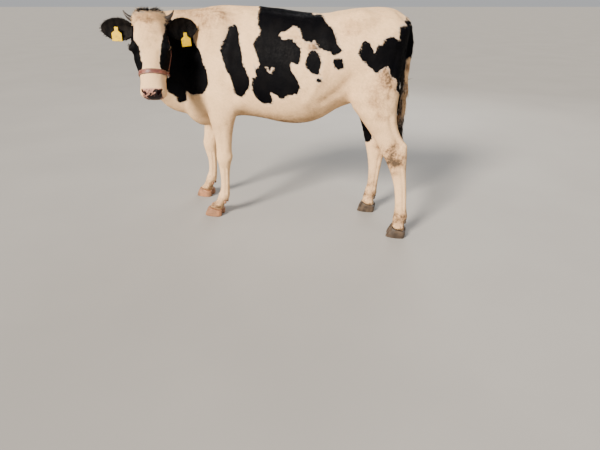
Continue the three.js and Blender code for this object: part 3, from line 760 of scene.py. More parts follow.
def neck_share(co):
    """How far along the neck a point is, counted in stations from the withers, and the way it runs there."""
    way = flow(np.array(NECK)[:, :3], NECK_CUTS)
    nearest = np.argmin(((co[:, None, :] - way[None]) ** 2)[:, :, :2].sum(-1), 1)
    return nearest / NECK_CUTS, unit(np.gradient(way, axis=0))[nearest]


def leg_line(name, z):
    """Middle of a leg, its half depth and half width at each height."""
    rows, side = LEGS[name]
    fine = flow(rows, 6)[::-1]
    front, back, out, half = (np.interp(z, fine[:, 0], fine[:, k]) for k in (1, 2, 3, 4))
    return np.stack([(front + back) / 2, side * out, z], -1), (back - front) / 2, half


def on_leg(name, z, turn):
    """A point on a leg's surface; turn 0 is the front, 90 the outer side, 180 the back."""
    middle, deep, half = leg_line(name, np.array([float(z)]))
    side = LEGS[name][1]
    a = math.radians(turn)
    return middle[0] + np.array([-math.cos(a) * deep[0], side * math.sin(a) * half[0], 0])


def leg_chart(co):
    """Unrolls each leg round its own middle line."""
    x, y, z = co.T
    turn = np.zeros(len(co))
    for name in LEGS:
        middle = leg_line(name, z)[0]
        mine = ((x < MIDDLE) == name.endswith("fore")) & ((y < 0) == name.startswith("left"))
        turn[mine] = np.arctan2(y[mine] - middle[mine, 1], x[mine] - middle[mine, 0]) / 6.3
    return np.stack([turn + np.where(y < 0, 0.0, 1.1), z / 400], -1)


def tail_chart(co):
    x, y, z = co.T
    return np.stack([np.arctan2(y - TAIL_MIDDLE[1], x - TAIL_MIDDLE[0]) * 20, z], -1)


def ear_frame(side):
    """Root of an ear, along its leaf, down across it, and out of its open face."""
    reach = unit(LEFT * side - FACING * EAR["sweep"][side] + UP * EAR["lift"])
    down = unit(reach * reach[2] - UP)
    front = unit(np.cross(reach, down) * -side)
    return on_head(EAR["along"], side * EAR["out"], EAR["deep"]), reach, down, front


def ear_bend(t, w, dish):
    """How far the leaf lies behind its flat at the share t of its length and w of its half width."""
    return -dish * (1 - np.clip(w, -1, 1) ** 2) + 5 * np.sin(3 * t) * w


def regions(co):
    """Weights of head, ears, neck, legs and tail for every point."""
    x, y, z = co.T
    along, out, deep = head_of(co).T
    on_face = smooth(-y, 236, 300) * smooth(-deep, 260, 210) * smooth(z, *CHEST) * smooth(-x, 400, 480)
    ear = np.zeros(len(co))
    table = np.array(EAR_LEAF, float).T
    for side in (1, -1):
        base, reach, down, front = ear_frame(side)
        q = co - base
        t = q @ reach / EAR["length"][side]
        half, dish, thick = (np.interp(t, table[0], column) for column in table[1:])
        w = q @ down / half
        close = np.abs(q @ front - ear_bend(t, w, dish)) < thick / 2 + 6
        leaf = (t < 1.06) & (np.abs(w) < 1.15 + 9 / half) & close
        ear = np.maximum(ear, smooth(q @ reach, 6, 40) * leaf)
    ear *= smooth(-along, -150, -130) * (np.abs(out) > 86)
    neck = smooth(-x, 560, 640) * smooth(z, *CHEST) * (1 - on_face)
    tail = smooth(x, 664, 684) * (np.abs(y - TAIL_MIDDLE[1]) < 42) * smooth(-z, -1240, -1150)
    legs = smooth(-z, -800, -640) * (1 - tail) * (1 - on_face)
    return {"head": on_face * (1 - ear), "ear": ear, "neck": neck * (1 - ear), "legs": legs, "tail": tail}


def near_face(co):
    along, _, deep = head_of(co).T
    return (co[:, 1] < FACE_EDGE) & (deep > -216) & (along > -60) & (along < 520)


def near_features(co):
    along, out, deep = head_of(co).T
    eye = (np.abs(along - EYE["along"]) < 40) & (deep > -70) & (deep < 6) & (np.abs(out) > 66)
    return near_face(co) & (eye | (along > 416))


def on_low_leg(co):
    x, y, z = co.T
    return (z < LEG_TOP) & ~((x > 660) & (np.abs(y - TAIL_MIDDLE[1]) < 44) & (z > 500))


def near_border(co):
    """Close to the edge of a marking, where the skin carries more detail."""
    mark = inside(co[:, [0, 2]], NECK_PATCH)
    chart = np.stack([co[:, 0], under_back(co)], -1)
    for outline in PATCHES.values():
        mark = np.maximum(mark, inside(chart, outline))
    return (np.abs(mark) < 17) & (co[:, 2] > LEG_TOP) & (co[:, 1] > FACE_EDGE)


# ---- The whole body as closed shapes
def ear_shape(side):
    """A dished leaf with rounded rims, thick where it leaves the head."""
    base, reach, down, front = ear_frame(side)
    w = np.linspace(-1, 1, 17)
    rings = []
    for t, half, dish, thick in flow(EAR_LEAF, 5):
        plump = thick / 2 * np.sqrt(1 - 0.9 * w ** 4)
        bend = ear_bend(t, w, dish)
        middle = base + reach * t * EAR["length"][side]
        back = middle + np.outer(w * half, down) + np.outer(bend - plump, front)
        face = middle + np.outer(w * half, down) + np.outer(bend + plump, front)
        rings.append(np.vstack([back, face[::-1]]))
    return tube(rings)


def body_shapes(d):
    """The trunk, neck, head, legs and tail as smooth closed shapes, drawn in by the coat's depth."""
    across, forward = np.array([0, 1.0, 0]), np.array([-1.0, 0, 0])
    trunk = [oval(np.array([x, 0, widest]), across, UP, half - d, back - widest - d, widest - belly - d,
                  above, below, 56) for x, back, belly, half, widest, above, below in flow(TRUNK, 6)]
    neck = flow(NECK, 6)
    neck[:, 3:6] -= d
    shapes = [tube(trunk), path_tube(list(neck), 44)]
    for centre, radii in BONES:
        for side in (-1, 1):
            shapes.append(ball(np.array(centre) * [1, side, 1], np.array(radii) - d - 1))
    head = [oval(on_head(along, 0, widest), LEFT, AHEAD, half - d, face - widest - d, widest - jaw - d,
                 above, below, 48) for along, face, widest, jaw, half, above, below in flow(HEAD, 6)]
    shapes.append(tube(head))
    for side in (-1, 1):
        verts, faces = ball(np.zeros(3), np.array([36, 31, 31]) - d * 0.6)
        shapes.append((on_head(198, side * 82, -36) + verts @ np.array([ALONG, LEFT, AHEAD]), faces))
    for name, (rows, side) in LEGS.items():
        rings = []
        for z, front, back, out, half in flow(rows, 5):
            deep = (back - front) / 2 - d * 0.7
            rings.append(oval(np.array([(front + back) / 2, side * out, z]), across, forward,
                              half - d * 0.7, deep, deep, 2.1, 2.1, 32))
        shapes.append(tube(rings))
        x, y = FEET[name]
        for claw in (-1, 1):
            shapes.append(ball(np.array([x + 5, y + claw * 28, 74.0]), np.array([36.0, 24.0, 12.0])))
    tail = [np.array([x, y, z, half - 2, half - 2, half - 2, 2]) for x, y, z, half in flow(TAIL, 5)]
    shapes.append(path_tube(tail, 20, -forward))
    return shapes


def finer(mesh, test):
    """Splits the faces that lie wholly where `test` holds."""
    with edited(mesh) as bm:
        chosen = test(np.array([v.co for v in bm.verts]) * 1000 - SHIFT)
        bm.verts.index_update()
        edges = [e for e in bm.edges if chosen[e.verts[0].index] and chosen[e.verts[1].index]]
        bmesh.ops.subdivide_edges(bm, edges=edges, cuts=1, use_grid_fill=True)
        bmesh.ops.triangulate(bm, faces=bm.faces)


# ---- Shaping
def shape_trunk(skin):
    """Muscles, bony points and ribs."""
    both = folded(skin.co)
    off_head = 1 - regions(skin.co)["head"]
    rise = forms(both, LUMPS, RIDGES)
    for i in range(RIBS["count"]):
        x = RIBS["first"] + RIBS["step"] * i
        way = [(x + back, out, z) for back, out, z in RIB_WAY]
        rise += RIBS["rise"] * ridge(both, way, RIBS["width"])
    rise += 1.6 * sway(skin.co, 210, 3) * off_head * smooth(skin.co[:, 2], LEG_TOP, 800)
    skin.push(rise * off_head)


def shape_neck(skin):
    """Folds across the inside of the bend, and the furrow of the jugular vein."""
    way = flow(NECK, NECK_CUTS)
    rise = np.zeros(len(skin.co))
    for station in NECK_FOLDS["stations"]:
        at = int(station * NECK_CUTS)
        row = way[at]
        left = unit(np.cross(UP, way[min(at + 2, len(way) - 1)][:3] - row[:3]))
        side = [row[:3] + UP * row[3] * s + left * row[5] for s in (0.5, 0.1, -0.4, -0.8)]
        rise += NECK_FOLDS["rise"] * ridge(skin.co, side, NECK_FOLDS["width"])
    for side in (-1, 1):
        furrow = []
        for row in way[6:40:6]:
            across = unit(np.cross(UP, [-1, -0.4 * (row[1] < -40), 0]))
            furrow.append(row[:3] - UP * row[4] * 0.52 + across * side * row[5] * 0.9)
        rise -= 6 * ridge(skin.co, furrow, 20)
    skin.push(rise * (1 - regions(skin.co)["head"]))


def shape_legs(skin):
    """Knees, hocks, tendons, fetlocks and the muscles above them."""
    rise = np.zeros(len(skin.co))

    def furrow(name, heights, turn, width, height):
        return height * ridge(skin.co, [on_leg(name, z, turn) for z in heights], width)

    for name in LEGS:
        kind = name.split("_")[1]
        for z, turn, reach, height in LEG_LUMPS[kind]:
            rise += height * lump(skin.co, on_leg(name, z, turn), [reach] * 3)
        for side in (1, -1):
            for heights, turn, width, height in LEG_FURROWS[kind]:
                rise += furrow(name, heights, side * turn, width, height)
        for row in FOOT_FURROWS:
            rise += furrow(name, *row)
    skin.push(rise)


def shape_head(skin):
    """Bones of the face, lips and jaw."""
    on_face = regions(skin.co)["head"]
    face = folded(head_of(skin.co))
    rise = forms(face, HEAD_LUMPS, HEAD_RIDGES)
    gap = gap_to(face, MOUTH)
    lip = face[:, 2] - np.interp(face[:, 0], [394, 440, 479], [-90, -88, -78])
    rise += 2.6 * np.exp(-((gap - 9) / 6) ** 2) * (gap < 24) - 6.5 * np.exp(-(gap / 3.2) ** 2)
    rise -= 2.5 * smooth(-lip, 4, 16) * smooth(face[:, 0], 400, 440)
    rise += 0.9 * sway(skin.co, 40, 9) * smooth(face[:, 2], -60, -10) * smooth(-face[:, 0], -150, -60)
    skin.push(rise * on_face)
    shape_nostrils(skin)


def shape_nostrils(skin):
    """Comma-shaped openings that turn back and outwards, with a full rim."""
    along, out, deep = head_of(skin.co).T
    out = np.abs(out)
    front = smooth(deep, -70, -44) * smooth(along, 425, 436) * regions(skin.co)["head"]
    t = out - NOSTRIL["out"]
    s = (along - NOSTRIL["along"]) + 0.35 * t
    hole = np.sqrt((s / 11.5) ** 2 + (t / 8.0) ** 2)
    tail = gap_to(np.stack([along, out, 0 * along], -1), [(455, 43, 0), (446, 52, 0), (437, 55, 0)])
    hole = np.minimum(hole, tail / 4.5)
    rim = 2.6 * np.exp(-((hole - 1.45) / 0.4) ** 2)
    sink = 15 * np.clip(1 - hole, 0, 1) ** 0.5 * (hole < 1)
    skin.co += (rim - sink)[:, None] * front[:, None] * AHEAD
    # The insides of the openings, painted near black by the skin's material: dark lining and painted shade.
    skin.nostril = front * smooth(-hole, -1.05, -0.8)


def eye_frame(side):
    """Centre of an eye, towards the muzzle, up the lid, and straight out."""
    out = unit(LEFT * side * 0.95 + AHEAD * 0.26 - ALONG * 0.04)
    muzzle = ALONG * 0.97 + AHEAD * 0.22
    forward = unit(muzzle - out * np.dot(muzzle, out))
    up = unit(np.cross(out, forward)) * side
    up = up if np.dot(up, AHEAD) > 0 else -up
    return on_head(EYE["along"], side * EYE["out"], EYE["deep"]), forward, up, out


def slit_rim(u, upper):
    """Height of a lid's edge over the middle of the eye."""
    return np.where(upper, SLIT["upper"], SLIT["lower"]) * np.clip(1 - (u / SLIT["half"]) ** 2, 0, 1) ** 0.7


def eye_gap(u, v):
    """Distance outside the slit between the lids, negative where the eye shows."""
    share = np.clip(1 - (u / SLIT["half"]) ** 2, 0, 1)
    return np.where(np.abs(u) < SLIT["half"], (np.abs(v) - slit_rim(u, v > 0)) * (0.75 + 0.25 * share),
                    np.hypot(np.abs(u) - SLIT["half"], v))


def shape_eyes(skin):
    """Lids that lie over the eyeball, with a fold above and a bag below."""
    skin.lid = np.zeros(len(skin.co))
    radius = EYE["radius"]
    for side in (1, -1):
        centre, forward, up, out = eye_frame(side)
        q = skin.co - centre
        u, v, w = q @ forward, q @ up, q @ out
        near = (np.hypot(u, v) < 40) & (w > -6) & (np.linalg.norm(q, axis=1) < 52)
        gap = eye_gap(u, v)
        on_rim = near & (np.abs(gap) < 1.1) & (np.abs(u) < SLIT["half"] - 1.5)
        v = np.where(on_rim, np.sign(v) * slit_rim(u, v > 0), v)
        r = np.hypot(u, v)
        lid = np.sqrt(np.clip((radius + 2.4) ** 2 - r ** 2, 0, None)) + 0.7 * np.exp(-(gap / 2.5) ** 2)
        lid += np.where(v > 0, 1.4, 0.5) * np.exp(-((gap - 4) / 3) ** 2)
        lid -= np.where(v > 0, 2.4, 1.2) * np.exp(-((gap - 8.5) / 2.0) ** 2)
        open_eye = np.sqrt(np.clip((radius - 3.5) ** 2 - r ** 2, 0, None)) - 1.5
        blend = smooth(gap, 6, 15)
        lidded = lid * (1 - blend) + w * blend
        height = np.where(near & (gap < 15), np.maximum(np.where(lid > w, lidded, w), lidded), w)
        height = np.where(gap < -0.2, np.minimum(open_eye, w), height)
        moved = centre + np.outer(u, forward) + np.outer(v, up) + np.outer(height, out)
        skin.co = np.where(near[:, None], moved, skin.co)
        skin.lid = np.maximum(skin.lid, near * smooth(-gap, -6.5, -1.0))


def cut_soles(skin):
    """Brings the ends of the legs to the hair line above the hooves."""
    x, y, z = skin.co.T
    for rows, side in LEGS.values():
        _, front, back, out, _ = rows[-1]
        mine = (z < 110) & (np.abs(y - side * out) < 80) & (np.abs(x - (front + back) / 2) < 110)
        line = CORONET["front"] + (x - front) / (back - front) * (CORONET["back"] - CORONET["front"])
        low = mine & (z < line)
        skin.co[low, 2] = line[low] + (skin.co[low, 2] - line[low]) * 0.12


# ---- Markings, soil and the lie of the hair
def markings(co, area, muzzle):
    """Black above nought and white below it, in millimetres from the edge of a patch."""
    x, y, z = co.T
    face = head_of(co)
    along, out, deep = face.T
    warp = sways(co, (120, 11), (90, 12)) * 5
    right_warp = smooth(y, -150, 60)[:, None] * sways(co, (150, 15), (110, 16)) * 26
    chart = np.stack([x, under_back(co)], -1) + warp + right_warp
    side_view = np.stack([x, z], -1) + warp
    mark = np.full(len(co), -60.0)
    for outline in PATCHES.values():
        mark = np.maximum(mark, inside(chart, outline))
    nick = gap_to(np.column_stack([chart, np.zeros(len(co))]), WHITE_NICK)
    mark = np.minimum(np.where(z < 500, -60, mark), nick - 6)
    mark = np.maximum(mark, inside(side_view + 1.6 * right_warp, NECK_PATCH))
    mark = np.maximum(mark, np.where(y > 60, inside(side_view, SHANK_PATCH), -60))
    # Below the dock the front half of the tail is made black and the switch mixed black and white: painted
    # shade of the near thigh on a white tail, whose rear edge stays white.
    tail = 16 - 2.2 * (x - 685) * smooth(-z, -1092, -1060)
    tail = np.where(z < 790, 3 + 18 * sway(co, 12, 51), tail)
    tail = np.where(z > 1092, 40, tail) + warp[:, 0]
    mark = np.where(area["tail"] > 0.3, tail, mark)
    blaze = np.minimum(inside(np.stack([out, along], -1) + warp * 0.6, BLAZE), deep + 66 + warp[:, 1])
    blaze = np.maximum(blaze, np.minimum(along - 344 + warp[:, 0], 60))
    blaze = np.minimum(blaze, along - 4)
    mark = np.where(area["head"] > 0.02, np.where(area["head"] > 0.5, -blaze, mark), mark)
    mark = np.where(area["ear"] > 0.3, 40, mark)
    spots = 9 * sway(co, 15, 61) - 4 + 22 * lump(face, (474, 6, -46), (18, 34, 26))
    spots += 24 * lump(face, (456, 40, -10), (20, 20, 30))
    return mark * (1 - muzzle) + spots * muzzle


def soil_shade_and_sheen(co, area, mark):
    """Mud and dust, strong where the animal lies down and faint in black hair, together with painted shade
    under the belly and on the tail and a painted sheen on the ears.
    """
    face = head_of(co)
    along, out, _ = face.T
    on_face = 0.35 * smooth(-np.abs(along - 120), -150, -40) * smooth(-np.abs(out), -80, -30)
    for centre, reach, strength in FACE_SOIL:
        on_face += strength * lump(face, centre, reach)
    soil = sum(strength * lump(co, centre, reach) for centre, reach, strength in SOIL_AND_SHADE)
    soil = soil + 0.16 * smooth(-co[:, 2], -420, -120) + on_face * area["head"]
    # More soil on the tail below the dock turns its black half dusty grey-brown: dirt together with painted
    # shade of the thigh on the tail.
    soil = soil + 0.8 * area["tail"] * smooth(-co[:, 2], -1120, -1040)
    soil = soil * (0.8 + 0.3 * sway(co, 70, 21)) + 0.09 * (1 + sway(co, 130, 22))
    soil = np.where((mark > 0) & (area["tail"] <= 0.3), 0.3 * soil, soil)
    # On the ears a fixed share of soil turns the black hair dusty grey: a painted sheen.
    return np.where(area["ear"] > 0.3, 0.42 + 0.1 * sway(co, 40, 23), soil)


def hair_lie(co, area, normal):
    """The way the hair points: back along the body, down the legs and out over the face and the ears."""

    def turned(lay, weight, way):
        return lay * (1 - weight[:, None]) + way * weight[:, None]

    along, out, deep = head_of(co).T
    side = np.sign(out)[:, None]
    lay = np.tile([1.0, 0, -0.32], (len(co), 1)) + np.outer(smooth(-co[:, 2], -1260, -900), [0, 0, -0.35])
    heading = neck_share(co)[1]
    lay += area["neck"][:, None] * (-heading * 1.6 - lay * 0.6 - UP * 0.25)
    lay = turned(lay, area["legs"], np.array([0.12, 0, -1.0]))
    lay = turned(lay, area["tail"], np.array([0, 0, -1.0]))
    face = -ALONG - AHEAD * smooth(-deep, 10, 70)[:, None] * 0.8 + LEFT * side * 0.35
    poll = ALONG * 0.5 + LEFT * side * (0.3 + 1.1 * smooth(np.abs(out), 24, 60))[:, None]
    brow = face * smooth(along, 20, 130)[:, None] + poll * smooth(-along, -130, -20)[:, None]
    face = np.where((along < 130)[:, None] & (deep > -40)[:, None], brow, face)
    lay = turned(lay, area["head"], face)
    for s in (1, -1):
        _, reach, down, _ = ear_frame(s)
        lay = turned(lay, area["ear"] * (np.sign(out) == s), reach + 0.25 * down)
    lay += 0.22 * sways(co, (100, 31), (100, 32), (100, 33))
    return unit(lay - normal * (lay * normal).sum(-1)[:, None])


def hair_sizes(co, area):
    """Length of the hair as a share of that on the trunk."""
    along, _, deep = head_of(co).T
    size = np.full(len(co), 1.0)
    size += 0.35 * area["neck"] - 0.42 * area["legs"] + 0.3 * area["tail"]
    size += 0.5 * lump(co, (-660, 0, 640), (90, 70, 80))
    size += 0.3 * lump(co, (0, 0, 640), (400, 50, 60))
    face = 0.34 + 0.12 * smooth(-along, -240, -40) + 0.25 * smooth(-along, -40, 0)
    size = size * (1 - area["head"]) + area["head"] * (face + 0.2 * smooth(-deep, 100, 180))
    return size * (1 - area["ear"]) + area["ear"] * 0.42


def paint(skin, mesh):
    """Stores markings, soil, bare skin, the lie of the hair and its size as attributes of the skin; the
    markings and the soil also carry painted shade and a painted sheen.
    """
    co, area = skin.co, regions(skin.co)
    along, out, deep = head_of(co).T
    muzzle = smooth(along, 420, 440) * smooth(deep, -88, -78) * smooth(-np.abs(out), -60, -50)
    muzzle *= area["head"] * smooth(along - 0.16 * deep, 426, 436)
    lip = ridge(folded(head_of(co)), MOUTH, 7) * area["head"]
    mark = markings(co, area, muzzle)
    set_value(mesh, "marking", np.clip(mark / 20, -1.5, 1.5))
    set_value(mesh, "bare", np.clip(muzzle + lip * 0.8 + skin.lid * 0.9, 0, 1))
    set_value(mesh, "nostril", np.clip(skin.nostril, 0, 1))
    set_value(mesh, "lid", skin.lid)
    set_value(mesh, "soil", np.clip(soil_shade_and_sheen(co, area, mark), 0, 1.7))
    set_value(mesh, "lay", hair_lie(co, area, skin.normals()), "FLOAT_VECTOR")
    gap = np.full(len(co), 99.0)
    for side in (1, -1):
        centre, forward, up, _ = eye_frame(side)
        q = co - centre
        gap = np.where(np.linalg.norm(q, axis=1) < 60, eye_gap(q @ forward, q @ up), gap)
    covered = np.clip(1 - muzzle * 1.4 - skin.lid * 1.2 - lip - skin.nostril, 0, 1)
    covered *= smooth(gap, 2.5, 6)
    set_value(mesh, "hair_size", hair_sizes(co, area) * (0.6 + 0.4 * smooth(gap, 3, 22)))
    set_value(mesh, "hair_share", covered * smooth(co[:, 2], 58, 64))
    set_value(mesh, "tone", np.zeros(len(co)))


# ---- Materials
class Nodes:
    """A small kit for writing a tree's nodes in order."""

    def __init__(self, tree):
        self.tree = tree

    def node(self, kind, **settings):
        node = self.tree.nodes.new(kind)
        for key, value in settings.items():
            setattr(node, key, value)
        return node

    def link(self, a, b):
        self.tree.links.new(a, b)

    def put(self, socket, value):
        """Links the socket to another, or sets it; a colour gets its alpha."""
        if isinstance(value, bpy.types.NodeSocket):
            self.link(value, socket)
        else:
            socket.default_value = (*value, 1.0) if isinstance(value, tuple) else value

    def math(self, kind, a, b=0.0):
        node = self.node("ShaderNodeMath", operation=kind)
        self.put(node.inputs[0], a)
        self.put(node.inputs[1], b)
        return node.outputs[0]

    def plus(self, a, b):
        return self.math("ADD", a, b)

    def minus(self, a, b):
        return self.math("SUBTRACT", a, b)

    def times(self, a, b):
        return self.math("MULTIPLY", a, b)


class Shade(Nodes):
    """The same for a material, with its surface and its output."""

    def __init__(self, name, roughness=0.6):
        self.material = bpy.data.materials.get(name) or bpy.data.materials.new(name)
        self.material.use_nodes = True
        super().__init__(self.material.node_tree)
        self.tree.nodes.clear()
        self.surface = self.node("ShaderNodeBsdfPrincipled")
        self.surface.inputs["Roughness"].default_value = roughness
        output = self.node("ShaderNodeOutputMaterial")
        self.link(self.surface.outputs[0], output.inputs["Surface"])
        self.place = self.node("ShaderNodeTexCoord").outputs["Object"]

    def attribute(self, name, output="Fac"):
        return self.node("ShaderNodeAttribute", attribute_name=name).outputs[output]

    def parts(self, vector):
        node = self.node("ShaderNodeSeparateXYZ")
        self.link(vector, node.inputs[0])
        return node.outputs

    def pattern(self, kind, stretch, **settings):
        """A texture node on the piece's own coordinates, squeezed by `stretch`."""
        mapping = self.node("ShaderNodeMapping")
        mapping.inputs["Scale"].default_value = stretch
        self.link(self.place, mapping.inputs["Vector"])
        node = self.node(kind)
        self.link(mapping.outputs[0], node.inputs["Vector"])
        for key, value in settings.items():
            node.inputs[key].default_value = value
        return node.outputs

    def noise(self, scale, detail=3.0, rough=0.5, stretch=(1, 1, 1)):
        values = {"Scale": scale, "Detail": detail, "Roughness": rough}
        return self.pattern("ShaderNodeTexNoise", stretch, **values)["Fac"]

    def cells(self, scale):
        return self.pattern("ShaderNodeTexVoronoi", (1, 1, 1), Scale=scale)["Distance"]

    def ramp(self, value, low, high, to_low=0.0, to_high=1.0):
        node = self.node("ShaderNodeMapRange", interpolation_type="SMOOTHSTEP")
        for key, v in (("Value", value), ("From Min", low), ("From Max", high),
                       ("To Min", to_low), ("To Max", to_high)):
            self.put(node.inputs[key], v)
        return node.outputs["Result"]

    def mix(self, share, a, b, how="MIX"):
        node = self.node("ShaderNodeMix", data_type="RGBA", blend_type=how)
        for index, value in ((0, share), (6, a), (7, b)):
            self.put(node.inputs[index], value)
        return node.outputs[2]

    def bump(self, height, distance, strength, over=None):
        node = self.node("ShaderNodeBump")
        node.inputs["Distance"].default_value = distance
        node.inputs["Strength"].default_value = strength
        self.put(node.inputs["Height"], height)
        if over:
            self.link(over, node.inputs["Normal"])
        return node.outputs["Normal"]

    def finish(self, colour, roughness, normal=None, **constants):
        for key, value in (("Base Color", colour), ("Roughness", roughness), ("Normal", normal)):
            if value is not None:
                self.put(self.surface.inputs[key], value)
        for key, value in constants.items():
            self.surface.inputs[key.replace("_", " ")].default_value = value
        return self.material


def scaled(colour, by):
    return tuple(min(1.0, c * by) for c in colour)


def coat_material(name, hair):
    """White and black hair with soil in it, the soil also standing for painted shade under the belly and on
    the tail and for a painted sheen on the ears; the skin under it adds bare pink and dark places, among
    them painted shade in the nostrils.
    """
    made = bpy.data.materials.get(name)
    if made:
        return made
    s, c = Shade(name, 0.62), bpy.context.scene.cow_coat
    edge = s.plus(s.times(s.minus(s.noise(62, 4, 0.6), 0.5), 1.1),
                  s.times(s.minus(s.noise(230, 2), 0.5), 0.5))
    black = s.ramp(s.plus(s.attribute("marking"), edge), -0.03, 0.03)
    patchy = s.plus(s.ramp(s.noise(17, 4, 0.6), 0.3, 0.7, 0.45, 0.85),
                    s.ramp(s.noise(75, 4, 0.7), 0.32, 0.68, 0.0, 0.5))
    # The soil attribute also holds painted shade under the belly and on the tail and a painted sheen on the
    # ears, so these dirt colours and the dusty black paint them too.
    soil = s.times(s.attribute("soil"), patchy)
    caked = s.mix(s.ramp(soil, 0.6, 1.3), tuple(c.stain), CAKED_MUD)
    white = s.mix(s.ramp(soil, 0.0, 1.0), tuple(c.white), caked)
    white = s.mix(s.times(s.ramp(s.noise(420, 2), 0.42, 0.7), 0.14), white, scaled(c.white, 0.55))
    rim = s.ramp(s.plus(s.attribute("marking"), edge), -0.42, -0.02, 0.0, 0.75)
    white = s.mix(rim, white, THIN_WHITE)
    dark = s.mix(s.ramp(s.noise(14, 4), 0.35, 0.75), tuple(c.black), DEEP_BLACK)
    dark = s.mix(s.ramp(s.attribute("soil"), 0.2, 0.9), dark, DUST_SHADE_SHEEN_BLACK)
    colour = s.mix(black, white, dark)
    tone = s.plus(1.0, s.times(s.attribute("tone"), 0.17))
    colour = s.mix(1.0, colour, tone, "MULTIPLY")
    rough = s.ramp(s.noise(120, 2), 0.3, 0.7, 0.5, 0.72)
    steep = s.ramp(s.math("ABSOLUTE", s.parts(s.attribute("lay", "Vector"))[2]), 0.55, 0.8)
    streaks = s.mix(steep, s.noise(330, 3, 0.6, (0.22, 1, 0.8)), s.noise(330, 3, 0.6, (1, 1, 0.2)))
    normal = s.bump(streaks, 0.0012, 0.5)
    if not hair:
        bare = s.attribute("bare")
        pink = s.mix(black, tuple(c.muzzle), DARK_SKIN)
        lids = s.mix(s.ramp(s.attribute("lid"), 0.02, 0.2), pink, LID_RIM)
        colour = s.mix(bare, colour, lids)
        # Painted shade in the nostril openings over their dark lining.
        colour = s.mix(s.attribute("nostril"), colour, NOSTRIL_LINING_AND_SHADE)
        pebbles = s.cells(430)
        rough = s.minus(rough, s.times(bare, 0.26))
        normal = s.bump(s.times(pebbles, bare), 0.0012, 0.5, normal)
    return s.finish(colour, rough, normal, Specular_IOR_Level=0.045)


def eye_material():
    """Dark iris with fibres, a wide pupil and a dull white round it."""
    s = Shade("Wet eye", 0.05)
    across = s.parts(s.node("ShaderNodeUVMap", uv_map="gaze").outputs[0])
    u, v = (s.times(s.minus(across[i], 0.5), GAZE_SPAN) for i in (0, 1))
    r = s.math("SQRT", s.plus(s.times(u, u), s.times(v, v)))
    slot = s.math("SQRT", s.plus(s.times(s.times(u, u), 0.42), s.times(s.times(v, v), 1.7)))
    iris = s.mix(s.ramp(s.noise(900, 3), 0.35, 0.65), *IRIS)
    white = s.mix(s.ramp(s.noise(500, 3), 0.45, 0.62), *EYE_WHITE)
    colour = s.mix(s.ramp(r, 12.4, 13.6), iris, white)
    colour = s.mix(s.ramp(slot, 4.2, 5.0), PUPIL, colour)
    return s.finish(colour, s.ramp(s.noise(220, 2), 0.3, 0.7, 0.03, 0.07), Specular_IOR_Level=0.3,
                    Coat_Weight=0.3, Coat_Roughness=0.02)


def horn_material(name, colour, scale):
    """Layered horn: pale growth rings and upright fibres over a clouded base, and soil."""
    made = bpy.data.materials.get(name)
    if made:
        return made
    s = Shade(name, 0.45)
    rings = s.noise(scale * 7, 2, 0.5, (0.05, 0.05, 1))
    fibre = s.noise(scale * 22, 2, 0.6, (1, 1, 0.05))
    cloud = s.noise(scale * 0.5, 3, 0.5)
    base = s.mix(s.ramp(cloud, 0.3, 0.7), scaled(colour, 0.6), scaled(colour, 1.5))
    base = s.mix(s.times(s.ramp(rings, 0.4, 0.65), 0.3), base, scaled(colour, 2.2))
    base = s.mix(s.times(s.ramp(fibre, 0.55, 0.72), 0.14), base, scaled(colour, 3.0))
    soil = s.ramp(s.noise(30, 5, 0.65), 0.46, 0.62)
    base = s.mix(s.times(soil, 0.42), base, DRIED_SOIL)
    rough = s.ramp(soil, 0, 1, 0.42, 0.85)
    normal = s.bump(rings, 0.0010, 0.4, s.bump(fibre, 0.0005, 0.35))
    return s.finish(base, rough, normal, Specular_IOR_Level=0.35)


def leather_material():
    """Brown leather, worn pale, with darker edges and a line of stitches along each edge."""
    s, c = Shade("Halter leather", 0.5), tuple(bpy.context.scene.cow_fittings.leather)
    strap_map = s.parts(s.node("ShaderNodeUVMap", uv_map="strap").outputs[0])
    edge = s.math("ABSOLUTE", s.minus(strap_map[1], 0.5))
    grain = s.cells(620)
    worn = s.ramp(s.noise(45, 5, 0.6), 0.46, 0.66)
    colour = s.mix(worn, c, scaled(c, 2.1))
    colour = s.mix(s.ramp(edge, 0.43, 0.49), colour, scaled(c, 0.45))
    dashes = s.ramp(s.math("SINE", s.times(strap_map[0], 1050.0)), 0.0, 0.4)
    line = s.times(dashes, s.ramp(s.math("ABSOLUTE", s.minus(edge, 0.36)), 0.035, 0.02))
    colour = s.mix(line, colour, THREAD)
    height = s.plus(s.times(grain, 0.5), s.times(line, 0.6))
    return s.finish(colour, s.ramp(worn, 0, 1, 0.42, 0.7), s.bump(height, 0.0009, 0.6))


def metal_material():
    s = Shade("Brushed steel", 0.3)
    scratch = s.noise(240, 4, 0.7, (1, 1, 0.2))
    colour = s.mix(s.ramp(s.noise(60, 4), 0.55, 0.68), STEEL, RUST)
    return s.finish(colour, s.ramp(scratch, 0.3, 0.7, 0.22, 0.5), s.bump(scratch, 0.0004, 0.4), Metallic=1.0)


def tag_material():
    s, c = Shade("Ear tag plastic", 0.4), tuple(bpy.context.scene.cow_fittings.tag)
    soil = s.ramp(s.noise(70, 5, 0.65), 0.5, 0.66)
    faded = s.mix(s.ramp(s.noise(30, 3), 0.35, 0.7), c, scaled(c, 1.18))
    colour = s.mix(s.times(soil, 0.35), faded, TAG_SOIL)
    fine = s.noise(900, 2)
    return s.finish(colour, s.ramp(soil, 0, 1, 0.45, 0.7), s.bump(fine, 0.0003, 0.5), Specular_IOR_Level=0.2)


